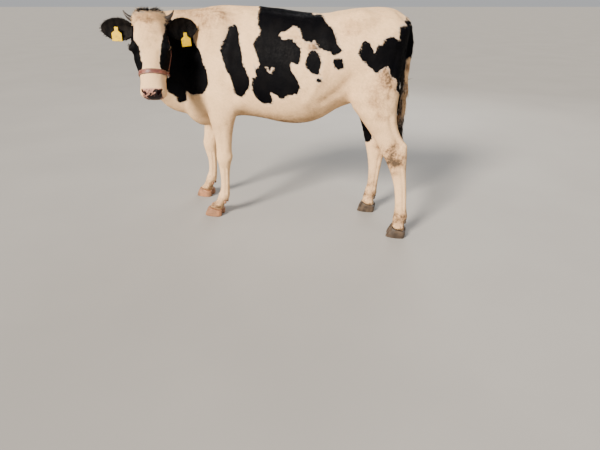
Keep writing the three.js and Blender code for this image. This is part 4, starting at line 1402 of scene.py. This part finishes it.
def floor_material():
    s, c = Shade("Plain floor", 0.8), tuple(bpy.context.scene.cow_stage.floor)
    cloud = s.mix(s.ramp(s.noise(1.2, 4), 0.3, 0.7), scaled(c, 0.97), scaled(c, 1.03))
    return s.finish(cloud, 0.8, s.bump(s.noise(160, 3), 0.0006, 0.3))


# ---- Locks of hair by Geometry Nodes
def lock_object(name, spikes, steps=((0, 1.0), (1, 0.0)), bow=0.0):
    """A lock along +X with its root at the origin: pointed spikes, each a closed mesh of a few faces.

    A spike is its root's place across the lock and along it, its length, half width, height and turn.
    """
    verts, faces = [], []
    for across, back, length, half, high, turn in spikes:
        start = len(verts)
        for x, wide in steps[:-1]:
            for k in range(3):
                a = 2 * np.pi * k / 3 + np.pi / 2
                verts.append((back + x * length, across + turn * x + half * wide * math.cos(a) * 1.15,
                              high * wide * math.sin(a) + bow * x * x))
        verts.append((back + length, across + turn, bow))
        faces.append((start, start + 2, start + 1))
        for i in range(len(steps) - 2):
            for k in range(3):
                a, b = start + 3 * i + k, start + 3 * i + (k + 1) % 3
                faces += [(a, b, b + 3), (a, b + 3, a + 3)]
        last = start + 3 * (len(steps) - 2)
        faces += [(last + k, last + (k + 1) % 3, len(verts) - 1) for k in range(3)]
    mesh = bpy.data.meshes.new(name)
    mesh.from_pydata(verts, [], faces)
    mesh.shade_smooth()
    reach = max(abs(v[1]) for v in verts)
    uv = mesh.uv_layers.new(name="leaf")
    for loop in mesh.loops:
        v = mesh.vertices[loop.vertex_index].co
        uv.data[loop.index].uv = (0.2 + 0.7 * v.x, 0.5 + 0.45 * v.y / reach)
    return bpy.data.objects.new(name, mesh)


def lock_tree():
    """Scatters locks over a skin, each laid along the skin's own direction of hair."""
    tree = bpy.data.node_groups.get("Locks of hair")
    if tree:
        return tree
    tree = bpy.data.node_groups.new("Locks of hair", "GeometryNodeTree")
    kit, face = Nodes(tree), tree.interface
    face.new_socket("Geometry", in_out="INPUT", socket_type="NodeSocketGeometry")
    for name, kind, value in LOCK_INPUTS:
        socket = face.new_socket(name, in_out="INPUT", socket_type=f"NodeSocket{kind}")
        if value is not None:
            socket.default_value = value
    face.new_socket("Geometry", in_out="OUTPUT", socket_type="NodeSocketGeometry")
    node, link, plus, minus, times = kit.node, kit.link, kit.plus, kit.minus, kit.times

    def named(name, kind="FLOAT"):
        n = node("GeometryNodeInputNamedAttribute", data_type=kind)
        n.inputs["Name"].default_value = name
        return n.outputs["Attribute"]

    def chance(low, high, seed):
        n = node("FunctionNodeRandomValue", data_type="FLOAT")
        kit.put(n.inputs[2], low)
        kit.put(n.inputs[3], high)
        link(plus(into["Seed"], seed), n.inputs["Seed"])
        return n.outputs[1]

    into, out = node("NodeGroupInput").outputs, node("NodeGroupOutput")
    scatter = node("GeometryNodeDistributePointsOnFaces")
    link(into["Geometry"], scatter.inputs["Mesh"])
    link(times(into["Density"], named("hair_share")), scatter.inputs["Density"])
    link(into["Seed"], scatter.inputs["Seed"])
    axes = node("FunctionNodeAxesToRotation", primary_axis="Z", secondary_axis="X")
    link(named("upright", "FLOAT_VECTOR"), axes.inputs["Primary Axis"])
    link(named("lay", "FLOAT_VECTOR"), axes.inputs["Secondary Axis"])
    turn = node("FunctionNodeEulerToRotation")
    angles = node("ShaderNodeCombineXYZ")
    spread = into["Spread"]
    link(chance(times(spread, -0.6), times(spread, 0.6), 1), angles.inputs[0])
    link(times(times(into["Lift"], -1.0), chance(0.4, 1.6, 2)), angles.inputs[1])
    link(chance(times(spread, -1.0), spread, 3), angles.inputs[2])
    link(angles.outputs[0], turn.inputs[0])
    both = node("FunctionNodeRotateRotation", rotation_space="LOCAL")
    link(axes.outputs[0], both.inputs[0])
    link(turn.outputs[0], both.inputs[1])
    size = named("hair_size")
    low, high = minus(1.0, into["Variation"]), plus(1.0, into["Variation"])
    length = times(times(into["Length"], size), chance(low, high, 4))
    width = times(times(into["Width"], kit.math("POWER", size, 0.75)), chance(low, high, 5))
    scale = node("ShaderNodeCombineXYZ")
    for i, value in enumerate((length, width, width)):
        link(value, scale.inputs[i])
    lock = node("GeometryNodeObjectInfo")
    link(into["Lock"], lock.inputs["Object"])
    copies = node("GeometryNodeInstanceOnPoints")
    link(scatter.outputs["Points"], copies.inputs["Points"])
    link(lock.outputs["Geometry"], copies.inputs["Instance"])
    link(both.outputs[0], copies.inputs["Rotation"])
    link(scale.outputs[0], copies.inputs["Scale"])
    tone = node("GeometryNodeStoreNamedAttribute", data_type="FLOAT", domain="INSTANCE")
    tone.inputs["Name"].default_value = "tone"
    link(copies.outputs[0], tone.inputs["Geometry"])
    link(chance(-1.0, 1.0, 6), tone.inputs["Value"])
    real = node("GeometryNodeRealizeInstances")
    link(tone.outputs[0], real.inputs[0])
    dressed = node("GeometryNodeSetMaterial")
    link(real.outputs[0], dressed.inputs[0])
    link(into["Material"], dressed.inputs["Material"])
    link(dressed.outputs[0], out.inputs[0])
    return tree


def hair_ground(name, source, share, chart):
    """The faces of the skin where hair grows, with what its locks read there, and their weighted area."""
    co = corners(source) * 1000 - SHIFT
    tri = read(source.polygons, "vertices", 3, int)
    used, index = np.unique(tri[share[tri].max(1) > 0.01], return_inverse=True)
    index = index.reshape(-1, 3)
    mesh = bpy.data.meshes.new(name)
    mesh.from_pydata(place(co[used]).tolist(), [], index.tolist())
    for key in ("marking", "soil", "hair_size"):
        set_value(mesh, key, value_of(source, key)[used])
    set_value(mesh, "lay", value_of(source, "lay", 3)[used], "FLOAT_VECTOR")
    set_value(mesh, "upright", read(source.vertices, "normal", 3)[used], "FLOAT_VECTOR")
    set_value(mesh, "hair_share", share[used])
    spot = chart(co)[used]
    low, high = spot.min(0), spot.max(0)
    spot = 0.02 + 0.96 * (spot - low) / (high - low)
    set_value(mesh, "root", np.column_stack([spot, np.zeros(len(spot))]), "FLOAT_VECTOR")
    a, b, c = (((co[used] / 1000)[index[:, i]]) for i in range(3))
    area = np.linalg.norm(np.cross(b - a, c - a), axis=1) / 2
    return mesh, (area * share[used][index].mean(1)).sum()


def grow(name, skin, keep, chart, lock, number, length, width, lift, spread, seed, variation=0.25):
    """One piece of the coat: locks on the faces where `keep` holds, mapped by `chart` of its points."""
    source = skin.data
    share = value_of(source, "hair_share") * keep(corners(source) * 1000 - SHIFT)
    mesh, area = hair_ground(name, source, share, chart)
    ob = add_object(name, mesh)
    modifier = ob.modifiers.new("Hair", "NODES")
    modifier.node_group = lock_tree()
    sockets = {s.name: s.identifier for s in modifier.node_group.interface.items_tree
               if s.item_type == "SOCKET" and s.in_out == "INPUT"}
    values = {"Lock": lock, "Density": number / max(area, 1e-6), "Length": length, "Width": width,
              "Lift": lift, "Spread": spread, "Variation": variation, "Seed": seed,
              "Material": coat_material("Coat hair", True)}
    for key, value in values.items():
        modifier[sockets[key]] = value
    made = applied(ob)
    if len(made.polygons) < 10:
        raise RuntimeError(f"{name} grew no hair")
    leaf = read(made.uv_layers["leaf"].data, "uv", 2, np.float32)
    root = value_of(made, "root", 3)[read(made.loops, "vertex_index", 1, int), :2]
    made.uv_layers.remove(made.uv_layers["leaf"])
    uv = made.uv_layers.new(name="OFBake")
    uv.data.foreach_set("uv", (root + (leaf - 0.5) * UV_PATCH).astype(np.float32).ravel())
    made.shade_smooth()
    soft = unit(unit(value_of(made, "upright", 3)) + SOFT_NORMAL * read(made.vertices, "normal", 3))
    for key in ("root", "lay", "upright", "hair_share", "hair_size"):
        if key in made.attributes:
            made.attributes.remove(made.attributes[key])
    made.normals_split_custom_set_from_vertices(soft)
    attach(ob, "root")
    return ob


# ---- Operators: one for each group of pieces
class COW_OT_skin(bpy.types.Operator):
    """One seamless skin for the trunk, neck, head, ears, legs and tail."""
    bl_idname = "cow.skin"
    bl_label = "Skin"

    def execute(self, context):
        coat = context.scene.cow_coat
        verts, faces = joined(body_shapes(coat.depth * 1000))
        ob = remeshed("skin", mesh_of("skin", verts, faces), coat.voxel)
        for test in (near_border, near_face, near_features, on_low_leg):
            finer(ob.data, test)
        skin = Surface(ob.data)
        area = regions(skin.co)
        thin = np.clip(area["legs"] + area["head"] * 0.8 + area["tail"], 0, 1)
        skin.relax(1.0, 8, keep_size=True)
        skin.relax(1 - thin, 26)
        skin.relax(thin * (1 - area["tail"]), 4, keep_size=True)
        cut_soles(skin)
        skin.write(ob.data)
        for side, name in SIDES:
            leaf = add_object(f"{name}_ear_leaf", mesh_of(f"{name}_ear_leaf", *ear_shape(side)))
            union = ob.modifiers.new("Ear", "BOOLEAN")
            union.operation, union.solver, union.object = "UNION", "MANIFOLD", leaf
            applied(ob)
            bpy.data.objects.remove(leaf)
        with edited(ob.data) as bm:
            bmesh.ops.triangulate(bm, faces=bm.faces)
        skin = Surface(ob.data)
        roots = [on_head(EAR["along"], side * (EAR["out"] + 8), EAR["deep"]) for side, _ in SIDES]
        root = sum(lump(skin.co, at, [EAR["root"]] * 3) for at in roots)
        skin.relax(np.clip(root * 1.6, 0, 1), 8, keep_size=True)
        for form in (shape_trunk, shape_neck, shape_legs, shape_head, shape_eyes):
            form(skin)
        skin.co[:, 2] = np.maximum(skin.co[:, 2], SKIN_FOOT)
        skin.write(ob.data)
        paint(skin, ob.data)
        dress(ob, coat_material("Coat skin", False))
        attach(ob, "root")
        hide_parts(*FLESH)
        return {"FINISHED"}


class COW_OT_coat(bpy.types.Operator):
    """Short hair over the whole skin, laid along the body, in one piece for each region."""
    bl_idname = "cow.coat"
    bl_label = "Coat"

    def execute(self, context):
        coat = context.scene.cow_coat
        skin = bpy.data.objects["skin"]
        lock = lock_object("Lock", LOCK_SPIKES)

        def trunk(side):
            def keep(co):
                area = regions(co)
                rest = 1 - np.clip(sum(area[k] for k in ("head", "neck", "legs", "ear", "tail")), 0, 1)
                return rest * (co[:, 1] * side >= 0)
            return keep

        def trunk_chart(co):
            x, y, z = co.T
            return np.stack([x, np.arctan2(np.abs(y), z - 950) * 300], -1)

        def neck_chart(co):
            x, y, z = co.T
            return np.stack([neck_share(co)[0] * 80, np.arctan2(y + x * 0.3 + 190, z - 1080) * 150], -1)

        def head_chart(co):
            along, out, deep = head_of(co).T
            return np.stack([np.arctan2(out, deep + 80) * 70, along], -1)

        def ear_chart(co):
            along, out, deep = head_of(co).T
            return np.stack([out, along - deep * 1.3], -1)

        pieces = [  # name, where it grows, chart, share of the number, length, lift and spread
            ("coat_trunk_left", trunk(-1), trunk_chart, 1, 1.0, 1, 0.26),
            ("coat_trunk_right", trunk(1), trunk_chart, 1, 1.0, 1, 0.26),
            ("coat_neck", lambda co: regions(co)["neck"], neck_chart, 0.9, 1.0, 1, 0.26),
            ("coat_head", lambda co: regions(co)["head"], head_chart, 0.95, 1.0, 1, 0.34),
            ("coat_forelegs", lambda co: regions(co)["legs"] * (co[:, 0] < MIDDLE), leg_chart,
             0.75, 1.0, 1, 0.24),
            ("coat_hindlegs", lambda co: regions(co)["legs"] * (co[:, 0] >= MIDDLE), leg_chart,
             0.85, 1.0, 1, 0.24),
            ("coat_ears", lambda co: regions(co)["ear"], ear_chart, 0.4, 1.0, 1, 0.3),
            ("coat_tail", lambda co: regions(co)["tail"], tail_chart, 0.2, 1.35, 2.6, 0.24),
        ]
        for seed, (name, keep, chart, share, size, lift, spread) in enumerate(pieces, 3):
            grow(name, skin, keep, chart, lock, coat.number * share, coat.length * size, coat.width,
                 coat.lift * lift, spread, seed)
        return {"FINISHED"}


class COW_OT_long_hair(bpy.types.Operator):
    """The tail's switch, the fringe of the ears, the poll's top knot and the hair above the claws."""
    bl_idname = "cow.long_hair"
    bl_label = "Long hair"

    def execute(self, context):
        skin = bpy.data.objects["skin"]
        strand = lock_object("Strand", STRAND_SPIKES, STRAND_STEPS, 0.1)
        fringe = lock_object("Fringe", FRINGE_SPIKES, STRAND_STEPS, 0.2)
        upright = read(skin.data.vertices, "normal", 3)

        def switch(co):
            return regions(co)["tail"] * smooth(-co[:, 2], -1010, -760)

        def coronet(co):
            return smooth(-co[:, 2], -92, -78) * regions(co)["legs"]

        def ear_rim(co):
            total = np.zeros(len(co))
            table = np.array(EAR_LEAF, float).T
            for side, _ in SIDES:
                base, reach, down, front = ear_frame(side)
                q = co - base
                t, w = q @ reach / EAR["length"][side], q @ down
                half = np.interp(t, table[0], table[1])
                edge = (np.abs(upright @ front) < 0.8) & ((np.abs(w) > half * 0.8) | (t > 0.9))
                own = (np.linalg.norm(q, axis=1) < 240) * (np.sign(head_of(co)[:, 1]) == side)
                total += (t > 0.02) * edge * (1 - 0.7 * smooth(t, 0.8, 0.95)) * own
            return total * regions(co)["ear"]

        def poll(co):
            along, out, _ = head_of(co).T
            return smooth(-along, -72, -30) * smooth(-np.abs(out), -96, -80) * regions(co)["head"]

        def flat_chart(co):
            return head_of(co)[:, :2]

        # name, where it grows, chart, lock, number, length, width, lift, spread, seed, variation
        for name, *values in (
                ("switch_hair", switch, tail_chart, strand, 2900, 0.060, 0.0044, 0.15, 0.16, 41, 0.45),
                ("coronet_hair", coronet, leg_chart, strand, 1700, 0.019, 0.0050, 0.0, 0.3, 44, 0.3),
                ("ear_fringe", ear_rim, flat_chart, fringe, 1300, 0.036, 0.0042, 0.35, 0.5, 42, 0.4),
                ("poll_hair", poll, flat_chart, fringe, 1900, 0.056, 0.0050, 0.40, 0.55, 43, 0.35)):
            grow(name, skin, *values)
        return {"FINISHED"}


class COW_OT_eyes(bpy.types.Operator):
    """Wet dark eyeballs with a level pupil, and the lashes over them."""
    bl_idname = "cow.eyes"
    bl_label = "Eyes"

    def execute(self, context):
        wet = eye_material()
        for side, name in SIDES:
            centre, forward, up, out = eye_frame(side)
            turn = around(EYEBALL["sides"])
            ring = np.outer(np.cos(turn), forward) + np.outer(np.sin(turn), up)
            rings = []
            for t in np.linspace(EYEBALL["pole"], np.pi - EYEBALL["pole"], EYEBALL["rings"]):
                bulge = EYEBALL["bulge"] * math.exp(-(t / EYEBALL["cornea"]) ** 4)
                swell = EYE["radius"] - EYEBALL["inset"] + bulge
                rings.append(centre + swell * (math.cos(t) * out + math.sin(t) * ring))
            mesh = mesh_of(f"eye_{name}", *tube(rings))
            q = corners(mesh) * 1000 - SHIFT - centre
            gaze = np.stack([q @ forward, q @ up], -1) / GAZE_SPAN + 0.5
            behind = (q @ out) < 0
            gaze[behind] = 0.5 + unit(gaze[behind] - 0.5) * 0.48
            gaze = gaze[read(mesh.loops, "vertex_index", 1, int)]
            mesh.uv_layers.new(name="gaze").data.foreach_set("uv", gaze.astype(np.float32).ravel())
            ob = add_object(f"eye_{name}", mesh, wet)
            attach(ob, "root")
            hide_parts(f"{name}_eye")
        lashes = add_object("lashes", mesh_of("lashes", *lash_shapes()), coat_material("Coat hair", True))
        for key, value in (("marking", 1.5), ("soil", 0.0), ("tone", 0.0)):
            set_value(lashes.data, key, np.full(len(lashes.data.vertices), value))
        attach(lashes, "root")
        return {"FINISHED"}


def lash_shapes():
    """Pointed lashes along the upper lid and shorter ones along the lower lid of both eyes."""
    verts, faces = [], []
    rng = np.random.default_rng(8)
    for side, _ in SIDES:
        centre, forward, up, out = eye_frame(side)
        for i in range(2 * LASHES):
            u = -16 + 32 * (i % LASHES) / (LASHES - 1) + rng.uniform(-0.5, 0.5)
            top = i < LASHES
            length, slant, bow, tip = LASH_LIDS[0 if top else 1]
            v = float(slit_rim(u, top)) * (1 if top else -1)
            w = math.sqrt(max((EYE["radius"] + 2.4) ** 2 - u * u - v * v, 1))
            root = centre + u * forward + v * up + w * out
            way = unit(out + slant * up + 0.03 * u * forward)
            long = length * rng.uniform(0.8, 1.15)
            across = unit(np.cross(way, up))
            a = len(verts)
            for s, wide in ((0, 0.5), (0.5, 0.4)):
                mid = root + way * long * s + up * bow * s * s
                verts += [mid + across * wide, mid + unit(np.cross(way, across)) * wide, mid - across * wide]
            verts.append(root + way * long + up * tip)
            faces += [[a, a + 2, a + 1], [a, a + 1, a + 4, a + 3], [a + 1, a + 2, a + 5, a + 4],
                      [a + 2, a, a + 3, a + 5], [a + 3, a + 4, a + 6], [a + 4, a + 5, a + 6],
                      [a + 5, a + 3, a + 6]]
    return np.array(verts), faces


class COW_OT_horns(bpy.types.Operator):
    """Short ringed horns that leave the sides of the poll and turn up."""
    bl_idname = "cow.horns"
    bl_label = "Horns"

    def execute(self, context):
        horn = horn_material("Horn", tuple(context.scene.cow_fittings.horn), 40)
        for side, name in SIDES:
            rows = []
            for t in np.linspace(-0.12, 1, 40):
                out = HORN["out"] + HORN["length"] * t * (1 - 0.25 * t)
                deep = HORN["deep"] + HORN["ahead"] * t
                p = on_head(HORN["along"] - HORN["rise"] * t * t, side * out, deep)
                r = HORN["radius"] + (HORN["tip"] - HORN["radius"]) * max(t, 0) ** 1.3 - 0.5
                r += HORN["ring"] * math.sin(t * HORN["rings"]) * (1 - t) - 1.0 * (t < 0.02)
                rows.append(np.array([*p, r, r, r, 2]))
            end = rows[-1][:3] + unit(rows[-1][:3] - rows[-2][:3]) * 2
            rows.append(np.array([*end, 1.2, 1.2, 1.2, 2]))
            ob = add_object(f"horn_{name}", mesh_of(f"horn_{name}", *path_tube(rows, 28)), horn)
            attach(ob, "root")
            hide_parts(f"{name}_horn")
        return {"FINISHED"}


class COW_OT_hooves(bpy.types.Operator):
    """Two claws and two dewclaws on each foot, worn and ringed."""
    bl_idname = "cow.hooves"
    bl_label = "Hooves"

    def execute(self, context):
        fittings = context.scene.cow_fittings
        for leg in LEGS:
            if leg.endswith("fore"):
                horny = horn_material("Pale hoof horn", scaled(fittings.pale_hoof, 0.6), 34)
            else:
                horny = horn_material("Dark hoof horn", tuple(fittings.hoof), 34)
            for part in ("claw_a", "claw_b", "dewclaw_a", "dewclaw_b"):
                node = f"{leg}_{part}"
                kind = part.split("_")[0]
                ob = remeshed(f"{part}_{leg}", cad_copy(node), *HOOF_GRAIN[kind])
                if kind == "claw":
                    move_corners(ob.data, ringed(corners(ob.data), *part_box(node)))
                dress(ob, horny)
                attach(ob, "root")
                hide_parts(node)
        return {"FINISHED"}


def ringed(co, low, high):
    """Growth rings round a claw and a flat under it, inside the box from low to high, in metres."""
    wave = np.sin((co[:, 2] + HOOF_RINGS["slant"] * co[:, 0]) * HOOF_RINGS["pace"])
    ring = HOOF_RINGS["rise"] * wave - HOOF_RINGS["sink"]
    away = unit(co[:, :2] - np.array([(low.x + high.x) / 2, (low.y + high.y) / 2]))
    share = smooth(co[:, 2], HOOF_RINGS["from"], HOOF_RINGS["to"])
    co[:, :2] += away * ring[:, None] * share[:, None]
    co[co[:, 2] < SOLE, 2] = 0.0
    co[:, 0] = np.clip(co[:, 0], low.x, high.x)
    co[:, 1] = np.clip(co[:, 1], low.y, high.y)
    return co


def wrap(tree, centre, ways):
    """Where lines from inside the head first meet the skin."""
    found = []
    for way in ways:
        hit, *_ = tree.ray_cast(Vector(place(centre)), Vector(way))
        if not hit:
            raise RuntimeError("a strap finds no skin to lie on")
        found.append(np.array(hit) * 1000 - SHIFT)
    return np.array(found)


def even(path, closed, rounds):
    """Evens out a path without drawing in its ends."""
    path = path.copy()
    for _ in range(rounds):
        middle = (np.roll(path, 1, 0) + np.roll(path, -1, 0)) / 2
        if not closed:
            middle[0], middle[-1] = path[0], path[-1]
        path += 0.5 * (middle - path)
    return path


def strap(name, path, outward, across, width, thick, closed):
    """A leather strap lying on a path: a rounded section with a map along its length."""
    n, k = len(path), len(STRAP_SECTION)
    rings = np.stack([path + across * w * width + outward * h * thick for w, h in STRAP_SECTION], 1)
    faces = grid_faces(n, k, closed)
    if not closed:
        faces += [list(range(k)), [(n - 1) * k + j for j in range(k)][::-1]]
    mesh = mesh_of(name, rings.reshape(-1, 3), faces)
    run = np.concatenate([[0], np.cumsum(np.linalg.norm(np.diff(path, axis=0), axis=1))]) / 1000
    uv = mesh.uv_layers.new(name="strap")
    for loop in mesh.loops:
        i, j = divmod(loop.vertex_index, k)
        uv.data[loop.index].uv = (run[i], STRAP_SECTION[j][0] + 0.5)
    return mesh


class COW_OT_halter(bpy.types.Operator):
    """A noseband and a strap behind the ears, in leather, joined by two rings."""
    bl_idname = "cow.halter"
    bl_label = "Halter"

    def execute(self, context):
        f = context.scene.cow_fittings
        tree = BVHTree.FromObject(bpy.data.objects["skin"], context.evaluated_depsgraph_get())
        leather, thick = leather_material(), f.strap_thick * 1000
        centre = on_head(*NOSEBAND["middle"])
        turn = np.linspace(0, 2 * np.pi, NOSEBAND["steps"], endpoint=False)
        path = wrap(tree, centre, np.outer(np.cos(turn), LEFT) + np.outer(np.sin(turn), AHEAD))
        path = even(path, True, NOSEBAND["rounds"])
        outward = unit(path - centre - np.outer((path - centre) @ ALONG, ALONG))
        path = path + outward * NOSEBAND["lift"]
        band = strap("noseband_leather", path, outward, ALONG, f.strap_width * 1000, thick, True)
        ob = add_object("noseband_leather", band, leather)
        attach(ob, "root")
        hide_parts("noseband")

        top, foot = on_head(*CHEEK["top"]), on_head(*CHEEK["foot"])
        run = unit(foot - top)
        across = unit(np.cross(run, LEFT))
        middle = top + run * CHEEK["middle"]
        turn = np.linspace(-0.5 * np.pi - CHEEK["past"], 0.5 * np.pi + CHEEK["past"], CHEEK["steps"])
        path = wrap(tree, middle, np.outer(np.sin(turn), LEFT) + np.outer(-np.cos(turn), run))
        path = even(path, False, CHEEK["rounds"])
        path = path[(path - POLL) @ ALONG < CHEEK["end"]]
        outward = unit(np.cross(unit(np.gradient(path, axis=0)), across))
        outward *= np.sign(((path - middle) * outward).sum(-1))[:, None]
        path = path + outward * CHEEK["lift"]
        band = strap("cheek_strap_leather", path, outward, across, f.cheek_width * 1000, thick, False)
        ob = add_object("cheek_strap_leather", band, leather)
        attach(ob, "root")
        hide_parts("crown_strap")

        steel = metal_material()
        for side, name in SIDES:
            hub = wrap(tree, on_head(*RING["middle"]), [LEFT * side])[0] + LEFT * side * RING["lift"]
            turn = around(LOOP["steps"])
            for i, way in enumerate((-ALONG, AHEAD, -AHEAD)):
                outward = np.outer(np.cos(turn), way) + np.outer(np.sin(turn), LEFT)
                path = hub + RING["radius"] * way + outward * LOOP["radius"]
                loop = strap(f"ring_loop_{name}_{i}", path, outward, np.cross(way, LEFT),
                             LOOP["width"][i], LOOP["thick"], True)
                ob = add_object(f"ring_loop_{name}_{i}", loop, leather)
                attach(ob, "root")
            ob = add_object(f"steel_ring_{name}", mesh_of(f"steel_ring_{name}", *ring_shape(hub)), steel)
            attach(ob, "root")
            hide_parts(f"{name}_ring")
        return {"FINISHED"}


def ring_shape(hub):
    """A round steel ring lying on the cheek."""
    n, k = RING["steps"], RING["sides"]
    a, b = np.meshgrid(around(n), around(k), indexing="ij")
    r = RING["radius"] + RING["wire"] * np.cos(b)
    points = hub + (r * np.cos(a))[..., None] * ALONG + (r * np.sin(a))[..., None] * AHEAD + (
        RING["wire"] * np.sin(b))[..., None] * LEFT
    return points.reshape(-1, 3), grid_faces(n, k, True)


class COW_OT_tags(bpy.types.Operator):
    """Plain plastic ear tags: a bottle-shaped plate in front of each ear and a stud behind."""
    bl_idname = "cow.tags"
    bl_label = "Ear tags"

    def execute(self, context):
        plastic = tag_material()
        for _, name in SIDES:
            for part, node in (("tag_plate", f"{name}_tag"), ("tag_button", f"{name}_tag_stud")):
                ob = add_object(f"{part}_{name}", cad_copy(node, flatten=True), plastic)
                bevel = ob.modifiers.new("Edge", "BEVEL")
                bevel.width, bevel.segments = TAG_EDGE["width"], TAG_EDGE["steps"]
                bevel.limit_method, bevel.angle_limit = "ANGLE", TAG_EDGE["angle"]
                applied(ob)
                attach(ob, "root")
                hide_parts(node)
        return {"FINISHED"}


class COW_OT_stage(bpy.types.Operator):
    """A plain pale floor, soft studio light and the camera."""
    bl_idname = "cow.stage"
    bl_label = "Stage"

    def execute(self, context):
        scene, stage = context.scene, context.scene.cow_stage
        mesh = bpy.data.meshes.new("floor")
        square = [(x * FLOOR_HALF, y * FLOOR_HALF, 0) for x, y in ((-1, -1), (1, -1), (1, 1), (-1, 1))]
        mesh.from_pydata(square, [], [(0, 1, 2, 3)])
        floor = add_object("floor", mesh, floor_material())
        light = bpy.data.lights.new("Key light", "SUN")
        light.energy, light.angle, light.color = stage.key, math.radians(SUN["spread"]), SUN["colour"]
        add_object("Key light", light).rotation_euler = facing(SUN["way"])
        for name, at, watts, colour in LAMPS:
            light = bpy.data.lights.new(name, "AREA")
            light.shape, light.size, light.energy, light.color = "DISK", LAMP_SIZE, watts, colour
            ob = add_object(name, light)
            ob.location = at
            ob.rotation_euler = facing(Vector(LAMP_AIM) - Vector(at))
        scene.world = bpy.data.worlds.new("Studio")
        scene.world.use_nodes = True
        background = scene.world.node_tree.nodes["Background"]
        background.inputs["Color"].default_value = SKY["colour"]
        background.inputs["Strength"].default_value = SKY["strength"]
        lens = bpy.data.cameras.new("Camera")
        lens.lens, lens.sensor_width, lens.sensor_fit = stage.lens, CAMERA["sensor"], "HORIZONTAL"
        lens.clip_start, lens.clip_end = CAMERA["near"], CAMERA["far"]
        camera = add_object("Camera", lens)
        camera.location = CAMERA["place"]
        camera.rotation_euler = (math.radians(90 - CAMERA["down"]), 0, math.radians(CAMERA["turn"]))
        scene.camera = camera
        return {"FINISHED"}


def facing(way):
    """The turn of a light that shines along a direction."""
    return Vector(way).to_track_quat("-Z", "Y").to_euler()


OPERATORS = (COW_OT_stage, COW_OT_skin, COW_OT_eyes, COW_OT_horns, COW_OT_hooves, COW_OT_halter, COW_OT_tags,
             COW_OT_coat, COW_OT_long_hair)


class COW_PT_pieces(bpy.types.Panel):
    """Sizes, colours and the pieces of the cow."""
    bl_label = "Young Holstein cow"
    bl_idname = "COW_PT_pieces"
    bl_space_type = "VIEW_3D"
    bl_region_type = "UI"
    bl_category = "Cow"

    def draw(self, context):
        column = self.layout.column()
        for name in SETTINGS:
            settings = getattr(context.scene, name)
            for key in settings.bl_rna.properties.keys():
                if key not in ("rna_type", "name"):
                    column.prop(settings, key)
        for operator in OPERATORS:
            column.operator(operator.bl_idname)


SETTINGS = {"cow_coat": CoatSettings, "cow_fittings": FittingSettings, "cow_stage": StageSettings}
CLASSES = (*SETTINGS.values(), *OPERATORS, COW_PT_pieces)


def register():
    for cls in CLASSES:
        bpy.utils.register_class(cls)
    for name, settings in SETTINGS.items():
        setattr(bpy.types.Scene, name, PointerProperty(type=settings))


def unregister():
    for name in SETTINGS:
        delattr(bpy.types.Scene, name)
    for cls in reversed(CLASSES):
        bpy.utils.unregister_class(cls)


def main():
    register()
    for operator in OPERATORS:
        area, name = operator.bl_idname.split(".")
        getattr(getattr(bpy.ops, area), name)()


if __name__ == "__main__":
    main()
